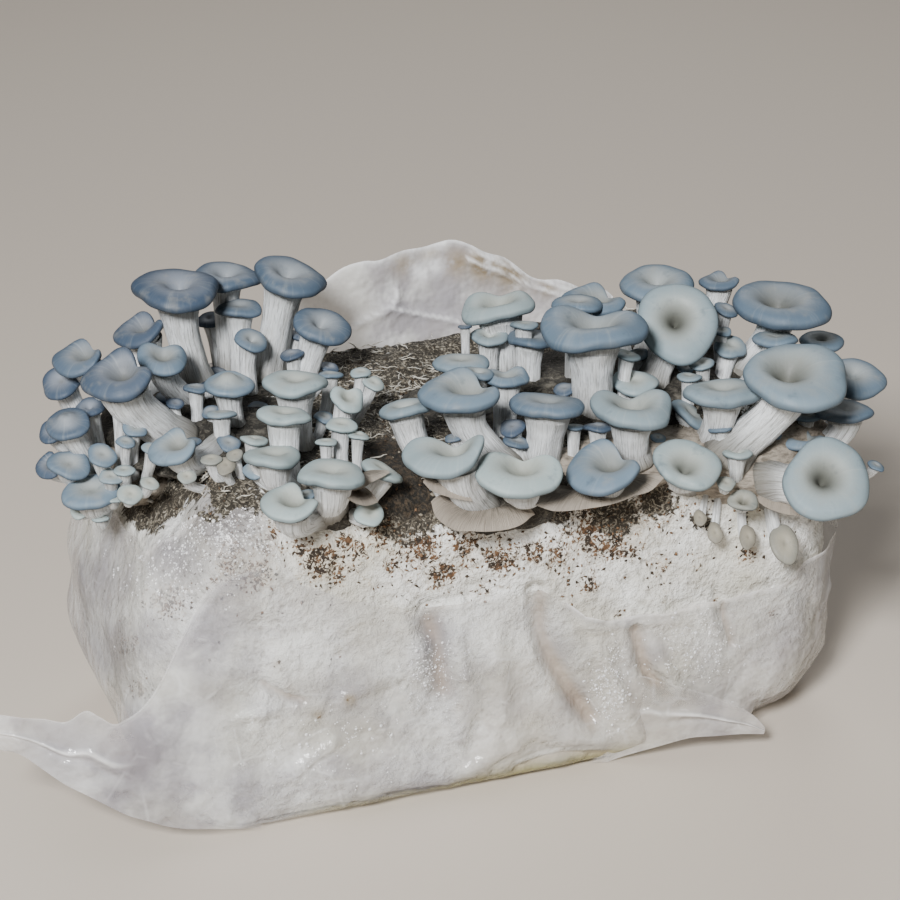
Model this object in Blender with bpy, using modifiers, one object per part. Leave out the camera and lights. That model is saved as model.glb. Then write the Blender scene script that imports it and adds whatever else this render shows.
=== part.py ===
"""Oyster mushroom grow kit: a block of sawdust bound by white mycelium, lying on its long side
in a thin translucent bag that is opened along the top, with two clusters of blue oyster
mushrooms growing out of it. Each full-grown mushroom is a cap and a stem. The young ones are
one growth with the fleshy base of their cluster.

Lengths in this file are in millimetres until an object is finished, which scales them to metres.
The row frame: +X along the block, -Y its front, +Z up, the floor at z = 0.
"""
import math

import bmesh
import bpy
from mathutils import Matrix, Vector

MM = 0.001
COLLECTION = "oyster_mushroom_grow_kit"

# The block and its bag.
BLOCK_HALF_LENGTH = 166.0
BLOCK_HALF_WIDTH = 88.0
BLOCK_HEIGHT = 158.0
BLOCK_BOTTOM = 1.3
CORNER_RADIUS = 42.0
SHOULDER_RADIUS = 34.0
COLUMNS = 30
BAG_WALL = 0.7
BAG_CLEARANCE = 1.4
BAG_LOOSE = 3.0
# The farthest that a rounded edge stands back, which keeps the corners' radius positive.
DEEPEST = 39.0
GAP = 0.3

# The mushrooms are set out as seen from the front left corner: how far across to the right and
# how far up from a point above the middle of the floor, and at what depth y. The eye's turn to
# the left, its height as an angle and its distance say which way across and up lie.
EYE_TURN = math.radians(20.0)
EYE_RISE = math.radians(25.0)
EYE_DISTANCE = 1200.0
EYE_TARGET = Vector((0.0, 0.0, 128.0))
ACROSS = Vector((math.cos(EYE_TURN), -math.sin(EYE_TURN), 0.0))
TOWARD = Vector(
    (
        -math.sin(EYE_TURN) * math.cos(EYE_RISE),
        -math.cos(EYE_TURN) * math.cos(EYE_RISE),
        math.sin(EYE_RISE),
    )
)
UPWARD = TOWARD.cross(ACROSS)

# Full-grown mushrooms: name, cap centre (across, up, depth), cap width, cap length as a share of
# its width, how many degrees its top faces the eye, its lean to the right in degrees, where the
# stem joins it (share of the cap's radius across, and away from the eye), foot (across, up,
# depth), stem width.
MUSHROOMS = [
    ("left_01", (-126, 76, 33), 40, 1.0, 21, 2, (0.05, 0.0), (-115, 28, 35), 16),
    ("left_02", (-103, 81, 52), 30, 1.0, 21, 3, (0.0, 0.0), (-101, 35, 49), 11),
    ("left_03", (-73, 81, 30), 34, 1.0, 23, 15, (-0.1, 0.0), (-84, 30, 38), 15),
    ("left_04", (-58, 58, 14), 26, 0.95, 40, 22, (-0.1, 0.0), (-70, 26, 12), 12),
    ("left_05", (-132, 43, 8), 23, 1.0, 38, 8, (0.0, 0.0), (-118, 22, 15), 11),
    ("left_06", (-152, 35, -22), 33, 0.95, 40, -8, (0.0, 0.0), (-126, 6, -16), 18),
    ("left_07", (-171, 43, 2), 24, 1.0, 36, -12, (0.2, 0.0), (-139, 14, 6), 11),
    ("left_08", (-127, 2, -52), 23, 1.0, 30, -12, (0.1, 0.0), (-105, 4, -40), 11),
    ("left_09", (-102, 31, -10), 22, 1.0, 24, 0, (0.0, 0.0), (-99, 10, -8), 11),
    ("left_10", (-71, 32, -42), 27, 1.0, 17, 2, (0.0, 0.0), (-70, 2, -40), 14),
    ("left_11", (-82, -2, -77), 25, 1.0, 12, 2, (0.1, 0.0), (-74, -16, -70), 12),
    ("left_12", (-54, -10, -102), 29, 1.0, 14, 2, (0.0, 0.0), (-53, -28, -92), 13),
    ("right_01", (66, 57, -50), 46, 0.95, 16, 0, (0.0, 0.0), (66, 20, -46), 19),
    ("right_02", (95, 78, 2), 36, 1.0, 23, 0, (0.0, 0.0), (92, 38, -2), 15),
    ("right_03", (105, 60, -38), 37, 1.0, 70, -3, (-0.15, 0.25), (92, 30, -30), 14),
    ("right_04", (153, 69, -34), 44, 1.0, 25, 2, (-0.1, 0.0), (134, 37, -33), 15),
    ("right_05", (160, 36, -98), 47, 1.0, 31, 0, (-0.1, 0.0), (128, -3, -99), 19),
    ("right_06", (187, 34, -58), 28, 1.0, 40, 12, (-0.1, 0.1), (158, 8, -62), 12),
    ("right_07", (174, -13, -120), 39, 1.0, 64, 8, (-0.3, 0.1), (137, -22, -101), 18),
    ("right_08", (125, 28, -82), 35, 1.0, 11, 0, (0.0, 0.0), (120, 3, -73), 14),
    ("right_09", (71, -8, -107), 34, 0.95, 30, -4, (0.1, 0.1), (72, -22, -96), 13),
    ("right_10", (84, 20, -82), 37, 0.95, 16, 2, (0.0, 0.0), (84, 0, -84), 16),
    ("right_11", (45, 22, -74), 32, 0.95, 11, 2, (0.0, 0.0), (42, -4, -80), 16),
    ("right_12", (31, -10, -108), 35, 0.9, 28, 2, (0.1, 0.1), (38, -24, -96), 15),
    ("right_13", (-3, -2, -98), 34, 0.9, 18, -6, (0.25, 0.1), (12, -25, -94), 16),
    ("right_14", (5, 27, -70), 38, 0.95, 18, 3, (0.1, 0.0), (24, -6, -82), 15),
]

# Young mushrooms, fused to the base of their cluster: cap centre, cap width, how far its top
# faces the eye, its lean to the right.
YOUNG_LEFT = [
    ((-97, 66, 40), 20, 25, 0),
    ((-91, 51, 20), 16, 35, 25),
    ((-142, 57, 40), 22, 30, -10),
    ((-179, 32, 10), 16, 32, -20),
    ((-176, 13, 12), 18, 30, -15),
    ((-176, -5, 16), 15, 30, -15),
    ((-165, -18, -14), 23, 28, -15),
    ((-76, 17, -64), 23, 16, 4),
    ((-73, -24, -102), 25, 30, 4),
    ((-47, 24, -46), 15, 50, 30),
    ((-31, -9, -84), 20, 12, 25),
]
YOUNG_RIGHT = [
    ((22, 67, 12), 33, 22, -6),
    ((18, 53, 4), 17, 30, 0),
    ((37, 52, -8), 22, 20, 4),
    ((67, 69, -8), 30, 25, 6),
    ((26, 34, -48), 20, 20, 0),
    ((5, 41, -30), 24, 20, 0, (14, 18, -34)),
    ((-21, 20, -60), 24, 14, -10),
    ((85, 32, -50), 20, 35, 0),
    ((124, 78, 14), 20, 22, 0, (106, 42, 0)),
    ((111, 17, -62), 16, 25, 30),
    ((109, -7, -88), 30, 45, 20),
    ((171, 51, -22), 21, 25, 0, (133, 34, -30)),
    ((182, 19, -80), 25, 22, 0),
    ((162, 5, -84), 22, 20, 0),
    ((154, -40, -100), 15, 60, 30, (148, -12, -90)),
    ((54, -20, -98), 22, 8, 0),
]

# Half sections of a cap from the middle of its top to under its rim, as shares of its radius:
# outwards and up. The key is the number of bands that the whole section has.
CAP_SECTIONS = {
    6: [(0.0, -0.2), (0.42, -0.1), (0.84, 0.12), (1.0, -0.02), (0.9, -0.17)],
    5: [(0.0, -0.18), (0.74, 0.11), (1.0, -0.03), (0.86, -0.2)],
    4: [(0.0, -0.1), (0.8, 0.12), (1.0, -0.1)],
}

# The fleshy swellings that each cluster's stems rise from: centre and three radii.
LEFT_SWELLINGS = [
    ((-110, -2, 155), (50, 72, 8)),
    ((-120, 20, 149), (36, 40, 14)),
    ((-92, -41, 147), (37, 39, 14)),
    ((-80, -66, 147), (22, 20, 14)),
    ((-150, 0, 142), (23, 42, 19)),
]
RIGHT_SWELLINGS = [
    ((62, -20, 155), (98, 48, 9)),
    ((56, -58, 144), (56, 32, 15)),
    ((-4, -72, 140), (36, 22, 17)),
    ((116, -63, 138), (46, 32, 18)),
]

# The bag's open rim: millimetres along its outline from the middle of the front, turning right,
# and the height of the rim there.
RIM = [
    (0, 84),
    (60, 74),
    (110, 76),
    (165, 92),
    (238, 104),
    (300, 112),
    (352, 128),
    (382, 148),
    (430, 176),
    (454, 190),
    (480, 186),
    (504, 180),
    (540, 160),
    (590, 140),
    (640, 122),
    (700, 110),
    (760, 108),
    (805, 122),
    (850, 124),
    (890, 106),
]

# The long folded ear at the bag's bottom left corner, from its root to its tip: upper edge
# (across, up), lower edge (across, up), depth and thickness.
LEFT_EAR = [
    ((-112, -68), (-112, -172), -85, 5.0),
    ((-124, -92), (-128, -172), -86, 4.5),
    ((-141, -118), (-148, -167), -84, 3.5),
    ((-168, -121), (-168, -159), -78, 2.5),
    ((-196, -123), (-192, -144), -70, 1.8),
    ((-216, -126), (-214, -134), -60, 1.2),
]
# The short flap at its bottom right corner, the same way.
RIGHT_FLAP = [
    ((88, -100), (86, -128), -84, 3.0),
    ((110, -104), (104, -130), -96, 2.5),
    ((128, -116), (124, -131), -101, 2.0),
    ((145, -126), (145, -130), -104, 1.2),
]


def spot(across, up, depth):
    """The point at this depth y that the eye sees this far across and up."""
    sideways = across * ACROSS.y + up * UPWARD.y
    nearer = (depth - sideways) / (TOWARD.y - sideways / EYE_DISTANCE)
    shrink = 1.0 - nearer / EYE_DISTANCE
    return EYE_TARGET + (across * ACROSS + up * UPWARD) * shrink + nearer * TOWARD


def between(pairs, at, period):
    """The value at this place of a curve through (place, value) pairs that closes on itself."""
    at = at % period
    rounded = pairs + [(pairs[0][0] + period, pairs[0][1])]
    for (start, low), (end, high) in zip(rounded, rounded[1:]):
        if start <= at <= end:
            share = (at - start) / (end - start)
            return low + (high - low) * share * share * (3.0 - 2.0 * share)
    return pairs[0][1]


def outline_length():
    straight = 2.0 * (BLOCK_HALF_LENGTH + BLOCK_HALF_WIDTH) - 4.0 * CORNER_RADIUS
    return 2.0 * straight + 2.0 * math.pi * CORNER_RADIUS


def outline(along, grow):
    """The point of the block's rounded outline this far along it, moved outwards by grow."""
    half_x = BLOCK_HALF_LENGTH - CORNER_RADIUS
    half_y = BLOCK_HALF_WIDTH - CORNER_RADIUS
    bend = 0.5 * math.pi * CORNER_RADIUS
    runs = [
        (half_x, 0.0, -half_y, 1.0, 0.0),
        (bend, half_x, -half_y, 0.0, -0.5 * math.pi),
        (2.0 * half_y, half_x, -half_y, 0.0, 1.0),
        (bend, half_x, half_y, 0.0, 0.0),
        (2.0 * half_x, half_x, half_y, -1.0, 0.0),
        (bend, -half_x, half_y, 0.0, 0.5 * math.pi),
        (2.0 * half_y, -half_x, half_y, 0.0, -1.0),
        (bend, -half_x, -half_y, 0.0, math.pi),
        (half_x, -half_x, -half_y, 1.0, 0.0),
    ]
    radius = CORNER_RADIUS + grow
    left = along % outline_length()
    for number, (length, x, y, step, turn) in enumerate(runs):
        if left <= length or number == len(runs) - 1:
            break
        left -= length
    if number % 2 == 1:
        angle = turn + left / CORNER_RADIUS
        return x + radius * math.cos(angle), y + radius * math.sin(angle)
    if number in (0, 8):
        return x + left * step, y - radius
    if number == 4:
        return x + left * step, y + radius
    side = 1.0 if number == 2 else -1.0
    return x + side * radius, y + left * turn


def eased(value):
    """A smooth step from 0 to 1 as the value goes from 0 to 1."""
    share = min(max(value, 0.0), 1.0)
    return share * share * (3.0 - 2.0 * share)


def foot_radius(along):
    """How rounded the bottom edge is: sharp at the front left, and full at both ends."""
    x, y = outline(along, 0.0)
    right = eased((x - 40.0) / 120.0)
    left = eased((-x - 124.0) / 40.0) * eased((y + 84.0) / 70.0)
    return 13.0 + 25.0 * (right + left)


def end_slope(along, height):
    """How far the left end slopes in, below and above its middle."""
    share = eased((-outline(along, 0.0)[0] - 126.0) / 40.0)
    low = 0.004 * max(55.0 - height, 0.0) ** 2
    high = 0.0045 * min(max(height - 72.0, 0.0), 66.0) ** 2
    return share * (low + high)


def rounding(height, radius):
    """How far a rounded edge of this radius stands back, at this height above its start."""
    drop = max(radius - height, 0.0)
    return radius - math.sqrt(max(radius * radius - drop * drop, 0.0))


def block_point(along, height):
    """A point of the block's side. Its hollows only go inwards."""
    turn = 2.0 * math.pi * along / outline_length()
    hollow = 1.0 + math.sin(7.0 * turn + 0.05 * height) * math.cos(0.045 * height + 3.0 * turn)
    back = rounding(height - BLOCK_BOTTOM, foot_radius(along))
    back += rounding(BLOCK_HEIGHT - height, SHOULDER_RADIUS) + end_slope(along, height)
    x, y = outline(along, -min(back + hollow, DEEPEST))
    return Vector((x, y, height))


def top_height(x, y):
    """The uneven top of the block."""
    swell = 1.6 * math.sin(0.06 * x + 0.4) * math.cos(0.07 * y)
    return BLOCK_HEIGHT + swell + 1.2 * math.sin(0.11 * x - 0.09 * y)


def bag_point(along, height):
    """A point of the bag's inner face, which hangs loose at the left end."""
    turn = 2.0 * math.pi * along / outline_length()
    loose = 0.0
    if outline(along, 0.0)[0] < -BLOCK_HALF_LENGTH + 10.0:
        loose = BAG_LOOSE * math.sin(math.pi * min(height / 110.0, 1.0))
    fold = (0.6 + 0.5 * math.sin(11.0 * turn + 0.8)) * min(height / 40.0, 2.0)
    back = rounding(height - BAG_WALL, foot_radius(along)) + end_slope(along, height)
    x, y = outline(along, BAG_CLEARANCE + loose + fold - min(back, DEEPEST))
    return Vector((x, y, height))


def closed_grid(rings, first, last):
    """A mesh of rings of points, one above the other, with a fan to a middle point at each end
    that has one."""
    mesh = bmesh.new()
    rows = [[mesh.verts.new(point) for point in ring] for ring in rings]
    count = len(rings[0])
    for low, high in zip(rows, rows[1:]):
        for k in range(count):
            after = (k + 1) % count
            mesh.faces.new((low[k], low[after], high[after]))
            mesh.faces.new((low[k], high[after], high[k]))
    if first is not None:
        middle = mesh.verts.new(first)
        for k in range(count):
            mesh.faces.new((middle, rows[0][(k + 1) % count], rows[0][k]))
    if last is not None:
        middle = mesh.verts.new(last)
        for k in range(count):
            mesh.faces.new((middle, rows[-1][k], rows[-1][(k + 1) % count]))
    return mesh


def material(name, colour, roughness):
    made = bpy.data.materials.new(name)
    made.use_nodes = True
    shader = made.node_tree.nodes["Principled BSDF"]
    shader.inputs["Base Color"].default_value = (*colour, 1.0)
    shader.inputs["Roughness"].default_value = roughness
    shader.inputs["Metallic"].default_value = 0.0
    return made


def finish(name, mesh, surface, collection):
    """Makes an object of this mesh, in metres."""
    bmesh.ops.scale(mesh, vec=(MM, MM, MM), verts=mesh.verts)
    bmesh.ops.recalc_face_normals(mesh, faces=mesh.faces)
    data = bpy.data.meshes.new(name)
    mesh.to_mesh(data)
    mesh.free()
    made = bpy.data.objects.new(name, data)
    if surface is not None:
        data.materials.append(surface)
    collection.objects.link(made)
    return made


def block_mesh(grow):
    """The block, or the same grown all round by a little to clear its neighbours."""
    length = outline_length()
    places = [length * k / COLUMNS for k in range(COLUMNS)]
    levels = [BLOCK_BOTTOM, 3.8, 11.0, 35.0, 80.0, 124.0, 139.0, 150.0, 156.0]
    rings = [[block_point(along, height) for along in places] for height in levels]
    rim = rings[-1]
    for share in (0.8, 0.45):
        edge = [share * point for point in rim]
        rings.append([Vector((p.x, p.y, top_height(p.x, p.y))) for p in edge])
    centre = Vector((0.0, 0.0, 80.0))
    highest = Vector((0.0, 0.0, top_height(0.0, 0.0)))
    mesh = closed_grid(rings, Vector((0.0, 0.0, BLOCK_BOTTOM)), highest)
    if grow:
        for vert in mesh.verts:
            away = (vert.co - centre).normalized()
            away = Vector((away.x, away.y, 1.0 if vert.co.z > 120.0 else away.z))
            vert.co += grow * away.normalized()
    return mesh


def bag_sheet():
    """The inner face of the bag, open along its rim."""
    length = outline_length()
    places = [length * k / COLUMNS for k in range(COLUMNS)]
    rims = [between(RIM, along, length) for along in places]
    rings = []
    for height in (BAG_WALL, 3.2, 10.5, 35.0):
        rings.append([bag_point(along, height) for along in places])
    for share in (0.33, 0.66, 1.0):
        rings.append(
            [bag_point(along, 35.0 + (rim - 35.0) * share) for along, rim in zip(places, rims)]
        )
    return closed_grid(rings, Vector((0.0, 0.0, BAG_WALL)), None)


def fold_of_film(stations):
    """A doubled fold of the bag, lofted through its stations."""
    mesh = bmesh.new()
    rows = []
    for (top, bottom, depth, thick) in stations:
        upper = spot(*top, depth)
        lower = spot(*bottom, depth)
        middle = 0.5 * (upper + lower)
        side = 0.5 * thick * Vector((0.0, -1.0, 0.0))
        points = [upper, middle + 1.6 * side, lower, middle - side]
        rows.append([mesh.verts.new(point) for point in points])
    for one, two in zip(rows, rows[1:]):
        for k in range(4):
            mesh.faces.new((one[k], one[(k + 1) % 4], two[(k + 1) % 4], two[k]))
    mesh.faces.new(rows[0])
    mesh.faces.new(rows[-1])
    return mesh


def cap_frame(face, lean):
    """Axes of a cap: across it, away from the eye, and out of its top."""
    face, lean = math.radians(face), math.radians(lean)
    rise = math.sin(lean) * ACROSS + math.cos(lean) * UPWARD
    axis = math.sin(face) * TOWARD + math.cos(face) * rise
    right = (ACROSS - ACROSS.dot(axis) * axis).normalized()
    return right, axis.cross(right), axis


def cap_mesh(width, length, shift, stem_width, segments, rings):
    """A cap whose middle is sunk like a funnel and whose rim rolls under, narrowing below to
    where the stem joins."""
    radius = 0.5 * width
    throat = 0.5 * stem_width / radius * 1.12
    section = CAP_SECTIONS[rings] + [(throat, -0.5), (0.0, -0.5)]
    mesh = bmesh.new()
    bmesh.ops.create_uvsphere(mesh, u_segments=segments, v_segments=rings, radius=1.0)
    for vert in mesh.verts:
        turn = math.atan2(vert.co.y, vert.co.x)
        step = round(math.acos(min(max(vert.co.z, -1.0), 1.0)) / math.pi * rings)
        share, height = section[step]
        rim = float(share > 0.6 and step < rings - 1)
        wave = 1.0 + 0.04 * rim * math.sin(3.0 * turn + width)
        lift = 0.05 * rim * math.sin(2.0 * turn + width)
        inner = 1.0 - share * share if step < 2 else float(step > rings - 2)
        vert.co = Vector(
            (
                radius * (share * wave * math.cos(turn) + shift[0] * inner),
                radius * (share * wave * length * math.sin(turn) + shift[1] * inner),
                radius * (height + lift),
            )
        )
    return mesh


def placed(mesh, centre, axes):
    """Turns a mesh to these axes and moves it to this centre."""
    turn = Matrix((axes[0], axes[1], axes[2])).transposed().to_4x4()
    bmesh.ops.transform(mesh, matrix=Matrix.Translation(centre) @ turn, verts=mesh.verts)
    return mesh


def inside(point, swellings, margin):
    """Whether the point lies in one of these swellings, grown by a margin."""
    for centre, radii in swellings:
        away = point - Vector(centre)
        reach = sum((away[i] / (radii[i] + margin)) ** 2 for i in range(3))
        if reach < 1.0:
            return True
    return False


def stem_path(join, axis, foot, swellings):
    """The stem's top, its foot just clear of the swellings, and its direction at the foot."""
    up = (0.55 * (join - foot).normalized() + Vector((0.0, -0.1, 0.6))).normalized()
    while inside(foot, swellings, 2.5):
        foot = foot + 0.5 * up
    return join - GAP * axis, foot, up


def stem_object(name, top, axis, foot, up, width, surface, collection):
    """A stem as a bent tube that flares where it meets the cap."""
    reach = 0.34 * (top - foot).length
    data = bpy.data.curves.new(name, "CURVE")
    data.dimensions = "3D"
    data.bevel_depth = 0.5 * width * MM
    data.bevel_resolution = 2 if width > 15 else 1
    data.use_fill_caps = True
    spline = data.splines.new("POLY")
    spline.points.add(3)
    places = [(foot, 0.92), (foot + reach * up, 0.94), (top - reach * axis, 0.97), (top, 1.08)]
    for point, (place, scale) in zip(spline.points, places):
        point.co = (*(place * MM), 1.0)
        point.radius = scale
    if surface is not None:
        data.materials.append(surface)
    made = bpy.data.objects.new(name, data)
    collection.objects.link(made)
    return made


def room_for_stem(name, path, width, collection):
    """The space that a stem takes, with a gap round it, as a mesh that can cut its neighbours."""
    top, axis, foot, up = path
    tube = stem_object(name, top, axis, foot, up, width + 2.4 * GAP, None, collection)
    bpy.context.view_layer.update()
    graph = bpy.context.evaluated_depsgraph_get()
    data = bpy.data.meshes.new_from_object(tube.evaluated_get(graph))
    mesh = bmesh.new()
    mesh.from_mesh(data)
    bmesh.ops.remove_doubles(mesh, verts=mesh.verts, dist=1e-6)
    bmesh.ops.recalc_face_normals(mesh, faces=mesh.faces)
    mesh.to_mesh(data)
    mesh.free()
    room = bpy.data.objects.new(name + "_room", data)
    room.matrix_world = tube.matrix_world
    collection.objects.link(room)
    bpy.data.objects.remove(tube)


def cone_between(start, end, start_radius, end_radius, sides):
    """A tapering round piece from one point to another."""
    along = end - start
    mesh = bmesh.new()
    bmesh.ops.create_cone(
        mesh,
        cap_ends=True,
        segments=sides,
        radius1=start_radius,
        radius2=end_radius,
        depth=along.length,
    )
    turn = along.to_track_quat("Z", "Y").to_matrix().to_4x4()
    middle = Matrix.Translation(0.5 * (start + end))
    bmesh.ops.transform(mesh, matrix=middle @ turn, verts=mesh.verts)
    return mesh


def nearest_swelling(point, swellings):
    return min(swellings, key=lambda one: (Vector(one[0]) - point).length)


def boolean(target, name, operation, operands):
    modifier = target.modifiers.new(name, "BOOLEAN")
    modifier.operation = operation
    modifier.solver = "EXACT"
    modifier.use_self = True
    modifier.operand_type = "COLLECTION"
    modifier.collection = operands
    return modifier


def helper_collection(name):
    made = bpy.data.collections.new(name)
    bpy.context.scene.collection.children.link(made)
    made.hide_render = True
    return made


def mark_helpers(helpers):
    for one in helpers.objects:
        one.hide_render = True
        one.display_type = "WIRE"


def cluster(side, swellings, young, grown, flesh, collection):
    """The base of one cluster: its swellings, a stub under each full-grown stem, and the young
    mushrooms, joined as one solid."""
    joined = helper_collection(side + "_cluster_growth")
    base = None
    for number, (centre, radii) in enumerate(swellings):
        mesh = bmesh.new()
        bmesh.ops.create_uvsphere(mesh, u_segments=9, v_segments=4, radius=1.0)
        for vert in mesh.verts:
            vert.co = Vector(centre) + Vector([vert.co[i] * radii[i] for i in range(3)])
        if number == 0:
            base = finish(side + "_cluster_base", mesh, flesh, collection)
        else:
            finish(f"{side}_swelling_{number}", mesh, None, joined)
    for name, foot, up, width in grown:
        centre = Vector(nearest_swelling(foot, swellings)[0])
        down = (centre - foot).normalized()
        end = foot + 0.8 * (centre - foot).length * down - 6.0 * up
        stub = cone_between(end, foot - GAP * up, 0.4 * width, 0.46 * width, 5)
        top_plane = foot - GAP * up
        for vert in stub.verts:
            if (vert.co - top_plane).length < 0.6 * width:
                vert.co -= (vert.co - top_plane).dot(up) * up
        finish(name + "_stub", stub, None, joined)
    for number, (place, width, face, lean, *own_foot) in enumerate(young):
        axes = cap_frame(face, lean)
        centre = spot(*place)
        stalk = max(0.36 * width, 5.0)
        cap = placed(cap_mesh(width, 1.0, (0.0, 0.0), stalk, 7, 4), centre, axes)
        finish(f"{side}_young_cap_{number}", cap, None, joined)
        swell = Vector(nearest_swelling(centre, swellings)[0])
        start = centre - 0.3 * width * axes[2]
        end = spot(*own_foot[0]) if own_foot else start + 0.9 * (swell - start)
        stalk_mesh = cone_between(start + 0.12 * width * axes[2], end, 0.5 * stalk, 0.6 * stalk, 5)
        finish(f"{side}_young_stem_{number}", stalk_mesh, None, joined)
    mark_helpers(joined)
    boolean(base, "growth", "UNION", joined)
    return base


def one_piece(base):
    """Settles the base's Booleans into its mesh and drops the crumbs that a cut left loose."""
    bpy.context.view_layer.update()
    graph = bpy.context.evaluated_depsgraph_get()
    data = bpy.data.meshes.new_from_object(base.evaluated_get(graph))
    base.modifiers.clear()
    base.data = data
    mesh = bmesh.new()
    mesh.from_mesh(data)
    bmesh.ops.triangulate(mesh, faces=mesh.faces)
    unseen = set(mesh.verts)
    pieces = []
    while unseen:
        piece = [unseen.pop()]
        for vert in piece:
            near = {edge.other_vert(vert) for edge in vert.link_edges} & unseen
            unseen -= near
            piece.extend(near)
        pieces.append(piece)
    largest = max(pieces, key=len)
    crumbs = [vert for piece in pieces if piece is not largest for vert in piece]
    bmesh.ops.delete(mesh, geom=crumbs, context="VERTS")
    mesh.to_mesh(data)
    mesh.free()


def settle(collection):
    """Moves everything so that its bounding box stands with the middle of its bottom at the
    origin."""
    bpy.context.view_layer.update()
    graph = bpy.context.evaluated_depsgraph_get()
    corners = []
    for one in collection.objects:
        seen = one.evaluated_get(graph)
        data = seen.to_mesh()
        corners += [seen.matrix_world @ vert.co for vert in data.vertices]
        seen.to_mesh_clear()
    low = [min(corner[i] for corner in corners) for i in range(3)]
    high = [max(corner[i] for corner in corners) for i in range(3)]
    root = bpy.data.objects.new("grow_kit_origin", None)
    collection.objects.link(root)
    root.location = (-0.5 * (low[0] + high[0]), -0.5 * (low[1] + high[1]), -low[2])
    for one in bpy.data.objects:
        if one is not root:
            one.parent = root
    bpy.context.view_layer.update()


def main():
    for one in list(bpy.data.objects):
        bpy.data.objects.remove(one)
    collection = bpy.data.collections.new(COLLECTION)
    bpy.context.scene.collection.children.link(collection)
    mycelium = material("mycelium_crust", (0.78, 0.75, 0.68), 0.85)
    film = material("milky_polypropylene", (0.72, 0.71, 0.73), 0.3)
    flesh = material("mushroom_flesh", (0.72, 0.70, 0.64), 0.6)
    blue = material("cap_steel_blue", (0.16, 0.23, 0.31), 0.5)
    pale = material("cap_pale_blue", (0.34, 0.41, 0.43), 0.5)

    finish("substrate_block", block_mesh(0.0), mycelium, collection)
    cutters = helper_collection("block_cutter")
    finish("grown_block", block_mesh(0.4), None, cutters)
    mark_helpers(cutters)

    bag = finish("plastic_bag", bag_sheet(), film, collection)
    wall = bag.modifiers.new("wall", "SOLIDIFY")
    wall.thickness = BAG_WALL * MM
    wall.offset = 1.0
    wall.use_even_offset = True
    folds = helper_collection("bag_folds")
    finish("left_ear", fold_of_film(LEFT_EAR), None, folds)
    finish("right_flap", fold_of_film(RIGHT_FLAP), None, folds)
    mark_helpers(folds)
    boolean(bag, "folds", "UNION", folds)
    boolean(bag, "room_for_block", "DIFFERENCE", cutters)

    rooms = helper_collection("room_for_stems")
    swellings = {"left": LEFT_SWELLINGS, "right": RIGHT_SWELLINGS}
    grown = {"left": [], "right": []}
    for name, place, width, length, face, lean, shift, foot, stem_width in MUSHROOMS:
        side = name.split("_")[0]
        axes = cap_frame(face, lean)
        centre = spot(*place)
        fine = (10, 6) if width > 33 else (9, 5)
        cap = cap_mesh(width, length, shift, stem_width, *fine)
        tint = blue if side == "left" or width > 43 else pale
        finish(name + "_cap", placed(cap, centre, axes), tint, collection)
        radius = 0.5 * width
        join = centre + radius * (shift[0] * axes[0] + shift[1] * axes[1] - 0.5 * axes[2])
        top, low, up = stem_path(join, axes[2], spot(*foot), swellings[side])
        stem_object(name + "_stem", top, axes[2], low, up, stem_width, flesh, collection)
        room_for_stem(name, (top, axes[2], low, up), stem_width, rooms)
        grown[side].append((name, low, up, stem_width))
    mark_helpers(rooms)
    for side, young in (("left", YOUNG_LEFT), ("right", YOUNG_RIGHT)):
        base = cluster(side, swellings[side], young, grown[side], flesh, collection)
        boolean(base, "seat_on_block", "DIFFERENCE", cutters)
        boolean(base, "stems_stand_free", "DIFFERENCE", rooms)
        one_piece(base)
    settle(collection)


main()
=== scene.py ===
"""Looks of the oyster mushroom grow kit: a sawdust block white with mycelium in a thin milky bag,
with two clusters of blue oyster mushrooms.

Shapes are worked out in millimetres in the layout's own frame, which has the block's middle at
x = y = 0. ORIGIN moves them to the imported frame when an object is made.
"""

import math

import bpy
import numpy as np
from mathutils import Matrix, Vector


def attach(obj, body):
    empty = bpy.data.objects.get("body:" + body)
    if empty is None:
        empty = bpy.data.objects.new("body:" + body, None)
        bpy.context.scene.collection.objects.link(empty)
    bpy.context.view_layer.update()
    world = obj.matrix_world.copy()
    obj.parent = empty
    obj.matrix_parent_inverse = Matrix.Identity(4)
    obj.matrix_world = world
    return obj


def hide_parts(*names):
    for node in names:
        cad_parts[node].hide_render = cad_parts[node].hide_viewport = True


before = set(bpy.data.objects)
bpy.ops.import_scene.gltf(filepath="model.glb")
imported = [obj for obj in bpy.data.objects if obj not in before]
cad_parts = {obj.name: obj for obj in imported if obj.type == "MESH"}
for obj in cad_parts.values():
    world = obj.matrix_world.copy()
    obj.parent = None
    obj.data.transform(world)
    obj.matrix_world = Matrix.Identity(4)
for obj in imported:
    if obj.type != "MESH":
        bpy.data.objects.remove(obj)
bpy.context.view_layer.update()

MM = 0.001
ORIGIN = np.array([21.6493, 20.7575, 0.1146])
RANDOM = np.random.default_rng(7)

# How many there are of each.
CREASE_COUNT = 150
PINS = 16
CRUST_FLAKES = 2600
TOP_FLAKES = 2200
THREADS = 900
MOST_DROPS = 6000

# Material slots of caps, stems and bases.
SKIN, FLESH, GROUND, GILLED = range(4)

# The picture: its size, how many millimetres one of its pixels covers at the target, and the eye.
PICTURE = 900
PIXEL = 0.46
EYE_TURN = math.radians(20.0)
EYE_RISE = math.radians(25.0)
EYE_DISTANCE = 1200.0
EYE_TARGET = np.array([0.0, 0.0, 128.0])
ACROSS = np.array([math.cos(EYE_TURN), -math.sin(EYE_TURN), 0.0])
TOWARD = np.array(
    [
        -math.sin(EYE_TURN) * math.cos(EYE_RISE),
        -math.cos(EYE_TURN) * math.cos(EYE_RISE),
        math.sin(EYE_RISE),
    ]
)
UPWARD = np.cross(TOWARD, ACROSS)

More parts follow.
